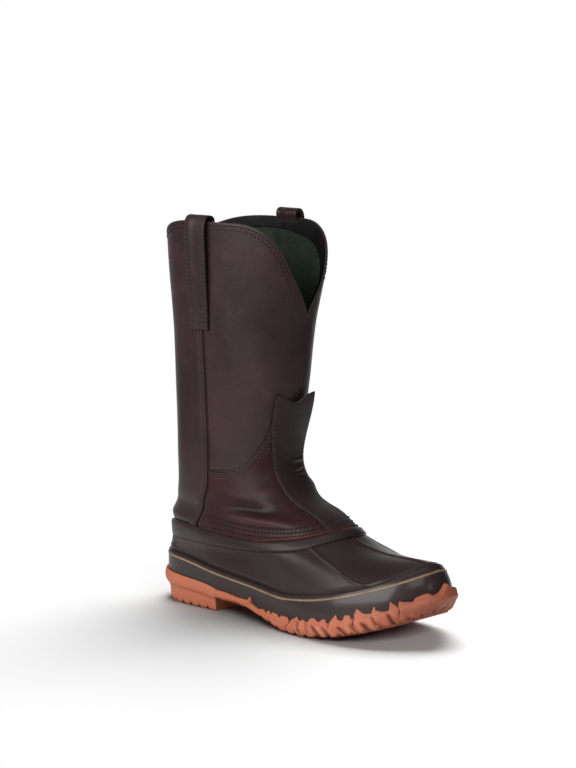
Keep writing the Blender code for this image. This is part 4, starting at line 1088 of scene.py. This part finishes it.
piece("vamp_overlay", vamp_sheet, vamp_quads, vamp_leather, "shaft_leather", ["vamp_panel"], sharp=60,
      top=both_faces(vamp_top_away), low=both_faces(vamp_low_away), side=both_faces(vamp_side_away),
      worn=both_faces(creases(vamp_angle, vamp_height)))

# Instep strip: a narrow, darker strip of leather up the front, sewn along both sides. Its pinked upper end is free,
# and it has creased where the ankle bends.

STRIP_TOP, STRIP_CORNER_OUT, STRIP_FREE, STRIP_BASE = 0.1955, 0.0042, (0.128, 0.1955), 0.0019
STRIP_EDGE = table(
    "height angle",
    (0.08, 22.5), (0.092, 21.7), (0.103, 22.6), (0.118, 22.8), (0.1385, 23.6), (0.157, 25.2), (0.184, 26.5),
    (0.196, 24.8),
)
STRIP_SPAN, STRIP_RISE, STRIP_COLUMNS, STRIP_ROWS = 0.046, 0.125, 112, 150
STRIP_DIP, STRIP_DIP_AT, STRIP_DIP_HALF = 0.0066, 0.12, 0.43
STRIP_TUCK, STRIP_PER_DEGREE, PINK_DEPTH, PINKS = 0.001, 0.00098, 0.0009, 18

strip_across = 2 * edged(STRIP_COLUMNS, STRIP_SPAN) - 1
strip_up = edged(STRIP_ROWS, STRIP_RISE)[:, None]
strip_pinks = PINK_DEPTH * (np.abs((strip_across * PINKS / 2) % 1 - 0.5) * 4 - 1)
strip_top = STRIP_TOP - STRIP_DIP * bell(strip_across - STRIP_DIP_AT, STRIP_DIP_HALF) + strip_pinks
strip_foot = RIM["height"][0] - STRIP_TUCK
strip_height = strip_foot + strip_up * (strip_top - strip_foot)
strip_half = read(STRIP_EDGE, "height", "angle", strip_height)
strip_angle = strip_across * strip_half
strip_height = strip_height - (RIM["height"][0] - rim_height(strip_angle)) * (1 - strip_up) ** 2
strip_side_away = (1 - np.abs(strip_across)) * strip_half * STRIP_PER_DEGREE
strip_free = STRIP_CORNER_OUT * blend(*STRIP_FREE, strip_height) * (1 - strip_across) / 2
# The strip's pressed lines carry painted shade in its stitch grooves and along its side edges.
strip_leather = leather(
    "strip_leather", (0.0190, 0.0112, 0.0122, 1), (0.0270, 0.0142, 0.0152, 1), (0.0400, 0.0262, 0.0270, 1),
    (("side", 2.4, 0.7, 0.16, 0.06), ("low", 4.0, 0.8, 0.16, 0.08), ("low", 8.0, 0.8, 0.16, 0.08),
     ("side", 0.0, 1.0, 0.0, 0.85)), (0.42, 0.56), 0.85)
strip_sheet, strip_quads = sewn_sheet(
    lambda out: on_leather(strip_angle, strip_height, out + strip_free), STRIP_BASE, OVERLAY,
    np.minimum(strip_side_away, strip_top - strip_height))
piece("pinked_strip", strip_sheet, strip_quads, strip_leather, "shaft_leather", ["instep_strip"], sharp=60,
      side=both_faces(strip_side_away), low=both_faces(strip_height - rim_height(strip_angle)))

# Side seams: a thin piping of rolled leather down each side, where the front and the back of the leg meet. It is
# caught in the seam when the hides are sewn, and stands up between two pressed lines.

PIPING_RADIUS, PIPING_PROUD, PIPING_TUCK, PIPING_TOP = 0.0013, 0.45, 0.001, 0.256
PIPING_STATIONS, CORD_TURNS = 160, 12


def swept(path, normal, radius):
    """Round profile carried along a path: circles across it, closed to a point at both ends."""
    tangent = unit(np.gradient(path, axis=0))
    across = unit(np.cross(tangent, normal))
    upright = np.cross(across, tangent)
    spin = np.linspace(0, 2 * np.pi, CORD_TURNS, endpoint=False)[:, None]
    size = np.full(len(path), radius)
    size[[0, -1]] = 0
    circles = (np.cos(spin)[None] * across[:, None] + np.sin(spin)[None] * upright[:, None]) * size[:, None, None]
    points = path[:, None] + circles
    return points, quads_of(numbers(points), wrap=True)


piping_leather = leather(
    "piping_leather", (0.0270, 0.0138, 0.0144, 1), (0.0420, 0.0188, 0.0193, 1), (0.0580, 0.0335, 0.0333, 1))
piping_height = np.linspace(rim_height(SEAM["angle"][0]) - PIPING_TUCK, PIPING_TOP, PIPING_STATIONS)
for side, name in ((OUTER, "outer"), (INNER, "inner")):
    piping_angle = -side * seam_angle(piping_height)
    piping_path = on_leather(piping_angle, piping_height, PIPING_RADIUS * PIPING_PROUD)
    piping = swept(piping_path, shaft_slopes(piping_angle, piping_height)[1], PIPING_RADIUS)
    piece("seam_cord_" + name, *piping, piping_leather, "shaft_leather", ["side_piping_" + name])

# Red welt: a bead of red rubber that seals the joint between leather and band. It shows in front and sinks behind
# the band towards the heel.

WELT_RADIUS, WELT_END, WELT_STATIONS = 0.0013, 104, 200
WELT_ABOVE_RIM, WELT_OUT = 0.0012, 0.0022
WELT_SINKS, WELT_DOWN, WELT_IN = (62, 100), 0.0042, 0.0012
WELT_RED, WELT_SOILED = (0.076, 0.013, 0.010, 1), (0.036, 0.0078, 0.0066, 1)

welt_angles = np.linspace(-WELT_END, WELT_END, WELT_STATIONS)
welt_sunk = blend(*WELT_SINKS, np.abs(welt_angles))
welt_height = rim_height(welt_angles) + WELT_ABOVE_RIM - WELT_DOWN * welt_sunk
welt_path = on_leather(welt_angles, welt_height, WELT_OUT - WELT_IN * welt_sunk)
red_rubber, shader, place = finish("red_rubber", Specular_IOR_Level=0.2)
soil = place.noise(90.0, 4.0)
feed(shader, Base_Color=soil.range(0.35, 0.75).tint(WELT_RED, WELT_SOILED),
     Roughness=soil.range(0.3, 0.7, 0.4, 0.55), height=soil * 0.12)
welt_points, welt_quads = swept(welt_path, shaft_slopes(welt_angles, welt_height)[1], WELT_RADIUS)
piece("red_bead", welt_points, welt_quads, red_rubber, "welt_rubber", ["red_welt"])

# Stitches: waxed dark thread, sewn in rows that lie in pressed lines. Each stitch is a short arch of thread whose
# ends go down into the holes.

STITCH_LENGTH, STITCH_PITCH, STITCH_RADIUS, STITCH_SUNK, STITCH_ARCH = 0.0023, 0.0036, 0.00052, 0.00005, 0.00045
STITCH_CIRCLES, STITCH_TURNS = 7, 6
COLLAR_ROWS, COLLAR_SPANS, COLLAR_POINTS = (0.0031, 0.0067), ((22, 179), (-179, -35)), 260
PANEL_TOP_ROWS, PANEL_TOP_SPAN, PANEL_POINTS = (0.0030, 0.0056), (24.5, 83), 200
PANEL_LOW_ROWS, PANEL_LOW_SPAN = ((0.0024, 0.0042), (0.0052, 0.0088), (0.0080, 0.0136)), (24, 104)
STRIP_SIDE_ROW, STRIP_SIDE_SPAN, STRIP_SIDE_POINTS = 0.0024, (0.088, 0.190), 220
STRIP_LOW_ROWS, STRIP_LOW_SPAN, STRIP_LOW_POINTS = (0.0040, 0.0080), (-19, 19), 80


def leather_row(angle, height, out):
    """Stitches at even steps along a path on the leather: their middles, directions and normals."""
    path = on_leather(angle, height, out)
    run = run_along(path)
    at = np.arange(STITCH_PITCH / 2, run[-1], STITCH_PITCH)
    along = unit(carried(at, run, np.gradient(path, run, axis=0)))
    return carried(at, run, path), along, unit(carried(at, run, shaft_slopes(angle, height)[1]))


def sew(name, rows, material, slot, bold=1.0):
    """Threads of several rows in one mesh: each an arch of circles, highest in the middle and closed at the ends."""
    centre, along, upright = (np.concatenate(parts) for parts in zip(*rows))
    across = np.cross(along, upright)
    step = np.linspace(-1, 1, STITCH_CIRCLES)
    spin = np.linspace(0, 2 * np.pi, STITCH_TURNS, endpoint=False)
    size = bold * STITCH_RADIUS * np.sqrt(np.clip(1 - step ** 4, 0, 1))
    arch = -STITCH_SUNK - STITCH_ARCH * step ** 2
    middle = (centre[:, None] + along[:, None] * (step * STITCH_LENGTH / 2)[:, None]
              + upright[:, None] * arch[:, None])
    circle = across[:, None, None] * np.cos(spin)[:, None] + upright[:, None, None] * np.sin(spin)[:, None]
    points = middle[:, :, None] + circle * size[:, None, None]
    piece(name, points, quads_of(numbers(points), wrap=True), material, slot, sharp=80)


def thread(name, deep, worn):
    """Waxed thread: two tones that change along its twist."""
    material, shader, place = finish(name, Specular_IOR_Level=0.2)
    twist = place.noise(1200.0, 2.0)
    feed(shader, Base_Color=twist.range(0.3, 0.7).tint(deep, worn), Roughness=twist.range(0.3, 0.7, 0.5, 0.7),
         height=twist * 0.08)
    return material


waxed_thread = thread("waxed_thread", (0.005, 0.003, 0.003, 1), (0.014, 0.009, 0.009, 1))
pale_thread = thread("pale_thread", (0.026, 0.016, 0.016, 1), (0.068, 0.044, 0.043, 1))

collar_rows = []
for away in COLLAR_ROWS:
    for span in COLLAR_SPANS:
        angle = np.linspace(*span, COLLAR_POINTS)
        collar_rows.append(leather_row(angle, collar_height(angle) - collar_drop(angle, away), 0.0))
sew("collar_stitches", collar_rows, waxed_thread, "shaft_leather", 1.25)

low_rows = []
top_rows = []
for side in (1, -1):
    for away in PANEL_TOP_ROWS:
        angle = np.linspace(*PANEL_TOP_SPAN, PANEL_POINTS)
        height = panel_top(angle) - away * PROBE / above_panel(angle, panel_top(angle) + PROBE)
        top_rows.append(leather_row(side * angle, height, OVERLAY_BASE + OVERLAY))
    for fore_and_aft in PANEL_LOW_ROWS:
        angle = np.linspace(*PANEL_LOW_SPAN, PANEL_POINTS)
        height = rim_height(angle) + np.interp(angle, FORE_AND_AFT, fore_and_aft)
        low_rows.append(leather_row(side * angle, height, OVERLAY_BASE + OVERLAY))
sew("vamp_stitches", low_rows, waxed_thread, "shaft_leather", 1.7)
sew("panel_stitches", top_rows, pale_thread, "shaft_leather")

strip_rows = []
for side in (1, -1):
    height = np.linspace(*STRIP_SIDE_SPAN, STRIP_SIDE_POINTS)
    half = read(STRIP_EDGE, "height", "angle", height)
    angle = side * (half - STRIP_SIDE_ROW / STRIP_PER_DEGREE)
    free = STRIP_CORNER_OUT * blend(*STRIP_FREE, height) * (1 - angle / half) / 2
    strip_rows.append(leather_row(angle, height, STRIP_BASE + OVERLAY + free))
for away in STRIP_LOW_ROWS:
    angle = np.linspace(*STRIP_LOW_SPAN, STRIP_LOW_POINTS)
    strip_rows.append(leather_row(angle, rim_height(angle) + away, STRIP_BASE + OVERLAY))
sew("strip_stitches", strip_rows, pale_thread, "shaft_leather")

# Pull straps: two bands of the leg's leather, doubled and folded over the collar. The outer end is stitched along
# both edges and boxed at its foot, and the inner end is tucked behind the facing.

STRAP_ANGLES, STRAP_WIDTH, STRAP_THICK = {OUTER: 93.3, INNER: 90.8}, 17.8, 0.0028
STRAP_REACH = {OUTER: 1.45, INNER: 1.0}
STRAP_STATIONS, STRAP_FLAT_POINTS, STRAP_FLAT_HALF, STRAP_CORNER = 150, 22, 0.44, 0.05
STRAP_MM_PER_DEGREE, STRAP_ROWS, STRAP_CORNER_POINTS, BOX_POINTS = 1.30, (2.0, 4.8), 6, 30
BOX_LEVELS, BOX_HALF, BOX_BARS, BOX_OUT = (0.2535, 0.2668), 0.38, (-0.16, 0.02, 0.20), 0.0020
STRAP_PATH = table(
    "out height",
    (0.0018, 0.25), (0.002, 0.2625), (0.0029, 0.28), (0.0041, 0.3), (0.0048, 0.318), (0.005, 0.333),
    (0.0046, 0.3405), (0.0032, 0.3454), (0.0006, 0.3479), (-0.0028, 0.3479), (-0.0048, 0.3464), (-0.0053, 0.3442),
    (-0.0047, 0.3422), (-0.0038, 0.3403), (-0.0031, 0.3384), (-0.0028, 0.336),
)
STRAP_LOOP_TURN = 6


def strap_angle(side, across):
    """Angle on the leather at a share of the strap's width from its middle."""
    return -side * (STRAP_ANGLES[side] + STRAP_WIDTH * across)


strap_turns = np.column_stack([STRAP_PATH["out"], STRAP_PATH["height"]])
strap_run = run_along(strap_turns)
strap_at = np.linspace(0, strap_run[-1], STRAP_STATIONS)
strap_out, strap_height = (spline(strap_run, strap_turns[:, axis], strap_at) for axis in (0, 1))
strap_along = unit(np.gradient(np.column_stack([strap_out, strap_height]), axis=0))
strap_corner = np.linspace(0, np.pi / 2, STRAP_CORNER_POINTS)
corner_across = 0.5 - STRAP_CORNER * (1 - np.sin(strap_corner))
corner_face = 0.5 * np.cos(strap_corner)
strap_flat = np.linspace(-STRAP_FLAT_HALF, STRAP_FLAT_HALF, STRAP_FLAT_POINTS)
half_across = np.concatenate([strap_flat, corner_across, corner_across[-2::-1]])
half_face = np.concatenate([np.full(STRAP_FLAT_POINTS, 0.5), corner_face, -corner_face[-2::-1]])
section_across = np.concatenate([half_across, -half_across])
section_face = np.concatenate([half_face, -half_face])
strap_thick = np.full((STRAP_STATIONS, 1), STRAP_THICK)
strap_thick[[0, -1]] = 0.0
face = section_face * strap_thick
face_height = strap_height[:, None] - face * strap_along[:, :1]
strap_side = np.broadcast_to((0.5 - np.abs(section_across)) * STRAP_WIDTH * STRAP_MM_PER_DEGREE, face.shape)
outside = strap_at < strap_run[STRAP_LOOP_TURN]
row_height = (strap_height - STRAP_THICK / 2 * strap_along[:, 0])[outside]
row_out = (strap_out + STRAP_THICK / 2 * strap_along[:, 1])[outside]
box_out = BOX_OUT + STRAP_THICK / 2
# The strap's pressed lines carry painted shade in its stitch grooves and along its side edges.
strap_leather = leather(
    "strap_leather", (0.0208, 0.0132, 0.0134, 1), (0.0304, 0.0164, 0.0164, 1), (0.0480, 0.0320, 0.0312, 1),
    (("side", 2.0, 0.7, 0.18, 0.12), ("side", 4.8, 0.7, 0.16, 0.10), ("side", 0.0, 0.9, 0.0, 0.5)))
strap_rows = []
for side, name in ((OUTER, "outer"), (INNER, "inner")):
    angle = np.broadcast_to(strap_angle(side, section_across), face.shape)
    out = (strap_out * np.where(strap_out < 0, STRAP_REACH[side], 1))[:, None] + face * strap_along[:, 1:]
    strap_points = on_leather(angle, face_height, out)
    piece("pull_strap_" + name + "_leather", strap_points, quads_of(numbers(strap_points), wrap=True), strap_leather,
          "strap_leather", ["pull_strap_" + name], side=strap_side)
    for edge in (-1, 1):
        for inset in STRAP_ROWS:
            across = edge * (0.5 - inset / STRAP_MM_PER_DEGREE / STRAP_WIDTH)
            strap_rows.append(leather_row(np.full(row_out.shape, strap_angle(side, across)), row_height, row_out))
    for level in BOX_LEVELS:
        across = np.linspace(-BOX_HALF, BOX_HALF, BOX_POINTS)
        strap_rows.append(leather_row(strap_angle(side, across), np.full(BOX_POINTS, level), box_out))
    for across in BOX_BARS:
        level = np.linspace(*BOX_LEVELS, BOX_POINTS)
        strap_rows.append(leather_row(np.full(BOX_POINTS, strap_angle(side, across)), level, box_out))
# The paler thread on the straps also stands in for the shine on the raised box stitches: painted highlight.
sew("strap_stitches", strap_rows, pale_thread, "strap_leather", 1.2)

# Footbed: an insole of the lining's dark green felt, cut to the shape of the last, that lies loose on the sole inside
# the rubber bottom. Its solid has the right shape already, so it only takes the felt's finish.

frame["nodes"]["insole"].data.materials.clear()
frame["nodes"]["insole"].data.materials.append(green_felt)

# Floor, light and camera: a round sheet of pale studio paper that fades out into a white backdrop, and large soft
# lamps that light the boot and the floor apart. The long lens stands where the photograph was taken from.

FLOOR_RADIUS, FLOOR_LEVEL, FLOOR_CORNERS, FLOOR_FADE = 0.66, -0.0003, 96, (0.45, 0.95)
FLOOR_GREY, FLOOR_PALE = (0.52, 0.52, 0.52, 1), (0.54, 0.54, 0.54, 1)

floor_turn = np.linspace(0, 2 * np.pi, FLOOR_CORNERS, endpoint=False)
floor_ring = np.column_stack([
    FLOOR_RADIUS * np.cos(floor_turn), FLOOR_RADIUS * np.sin(floor_turn), np.full(FLOOR_CORNERS, FLOOR_LEVEL)])
floor_mesh = bpy.data.meshes.new("studio_floor")
floor_mesh.from_pydata(floor_ring.tolist(), [], [list(range(FLOOR_CORNERS))])
floor_paper, shader, place = finish("floor_paper", Roughness=0.85, Specular_IOR_Level=0.1)
feed(shader, Base_Color=place.noise(3.0, 2.0).tint(FLOOR_GREY, FLOOR_PALE))
away = place.make("VectorMath", {"operation": "LENGTH"}, {0: place}, "Value")
clear = place.make("BsdfTransparent")
paper = Wire(place.tree, shader.outputs["BSDF"])
fade = away.range(*(FLOOR_RADIUS * share for share in FLOOR_FADE))
faded = place.make("MixShader", None, {0: fade, 1: paper, 2: clear})
place.tree.links.new(faded.socket, place.tree.nodes["Material Output"].inputs["Surface"])
floor_mesh.materials.append(floor_paper)
studio_floor = bpy.data.objects.new("studio_floor", floor_mesh)
bpy.context.scene.collection.objects.link(studio_floor)

TARGET = np.array([0.135108, 0.0, 0.20276]) + HEEL_END
TURN, TILT, DISTANCE, LENS = 0.74471, 0.148167, 2.24447, 121.69


def looking(name, data, position, at):
    """An object at a position, its -Z axis turned to a point."""
    made = bpy.data.objects.new(name, data)
    bpy.context.scene.collection.objects.link(made)
    back = unit(np.asarray(position) - at)
    right = unit(np.cross((0, 0, 1), back))
    made.matrix_world = np.column_stack([
        np.append(right, 0), np.append(np.cross(back, right), 0), np.append(back, 0), np.append(position, 1)]).T
    return made


def around(turn_degrees, up_degrees, distance):
    """Point round the target, by its turn from the camera's side and its height angle."""
    turn = TURN + math.radians(turn_degrees)
    up = math.radians(up_degrees)
    return TARGET + distance * np.array([math.sin(turn) * math.cos(up), -math.cos(turn) * math.cos(up), math.sin(up)])


camera_data = bpy.data.cameras.new("camera")
camera_data.lens = LENS
camera_data.clip_end = 100
camera = looking("camera", camera_data, around(0, math.degrees(TILT), DISTANCE), TARGET)
bpy.context.scene.camera = camera

boot_pieces = bpy.data.collections.new("boot_pieces")
floor_pieces = bpy.data.collections.new("floor_pieces")
for thing in bpy.context.scene.objects:
    if thing.type == "MESH":
        (floor_pieces if thing == studio_floor else boot_pieces).objects.link(thing)

# Each lamp's name, what it lights, its turn from the camera and height angle, its distance, width, height and watts.
LAMPS = (
    ("key_softbox", boot_pieces, -43, 22, 1.8, 1.90, 1.10, 48.0),
    ("front_softbox", boot_pieces, 16, 32, 1.8, 0.70, 0.60, 4.5),
    ("back_softbox", boot_pieces, 172, 24, 1.9, 1.40, 0.90, 26.0),
    ("toe_softbox", boot_pieces, 42, 14, 1.9, 0.30, 0.40, 1.0),
    ("top_softbox", boot_pieces, 0, 75, 2.2, 1.40, 1.00, 6.0),
    ("floor_softbox", floor_pieces, 160, 68, 2.6, 1.90, 2.20, 160.0),
    ("floor_fill", floor_pieces, 25, 24, 2.2, 1.60, 0.60, 34.0),
)
for name, lit, turn, up, distance, width, height, watts in LAMPS:
    lamp = bpy.data.lights.new(name, "AREA")
    lamp.shape = "RECTANGLE"
    lamp.size = width
    lamp.size_y = height
    lamp.energy = watts
    softbox = looking(name, lamp, around(turn, up, distance), TARGET)
    softbox.light_linking.receiver_collection = lit
    softbox.visible_glossy = name != "back_softbox"

BACKDROP_GLOW, BACKDROP_SPREAD, ROOM_GLOW = 1.00, (0.72, 0.99), 0.08

world = bpy.data.worlds.new("studio")
world.use_nodes = True
directions = world.node_tree.nodes.new("ShaderNodeTexCoord")
way = Wire(world.node_tree, directions.outputs["Generated"])
to_backdrop = (-math.sin(TURN), math.cos(TURN), 0.0)
behind = way.make("VectorMath", {"operation": "DOT_PRODUCT"}, {0: way, 1: to_backdrop}, "Value")
glow = behind.range(*BACKDROP_SPREAD, ROOM_GLOW, BACKDROP_GLOW)
seen = way.make("LightPath", None, None, "Is Camera Ray")
strength = glow + seen * (1.0 - glow)
world.node_tree.links.new(strength.socket, world.node_tree.nodes["Background"].inputs["Strength"])
world.node_tree.nodes["Background"].inputs["Color"].default_value = (1.0, 1.0, 1.0, 1)
bpy.context.scene.world = world
bpy.context.scene.view_settings.view_transform = "Standard"
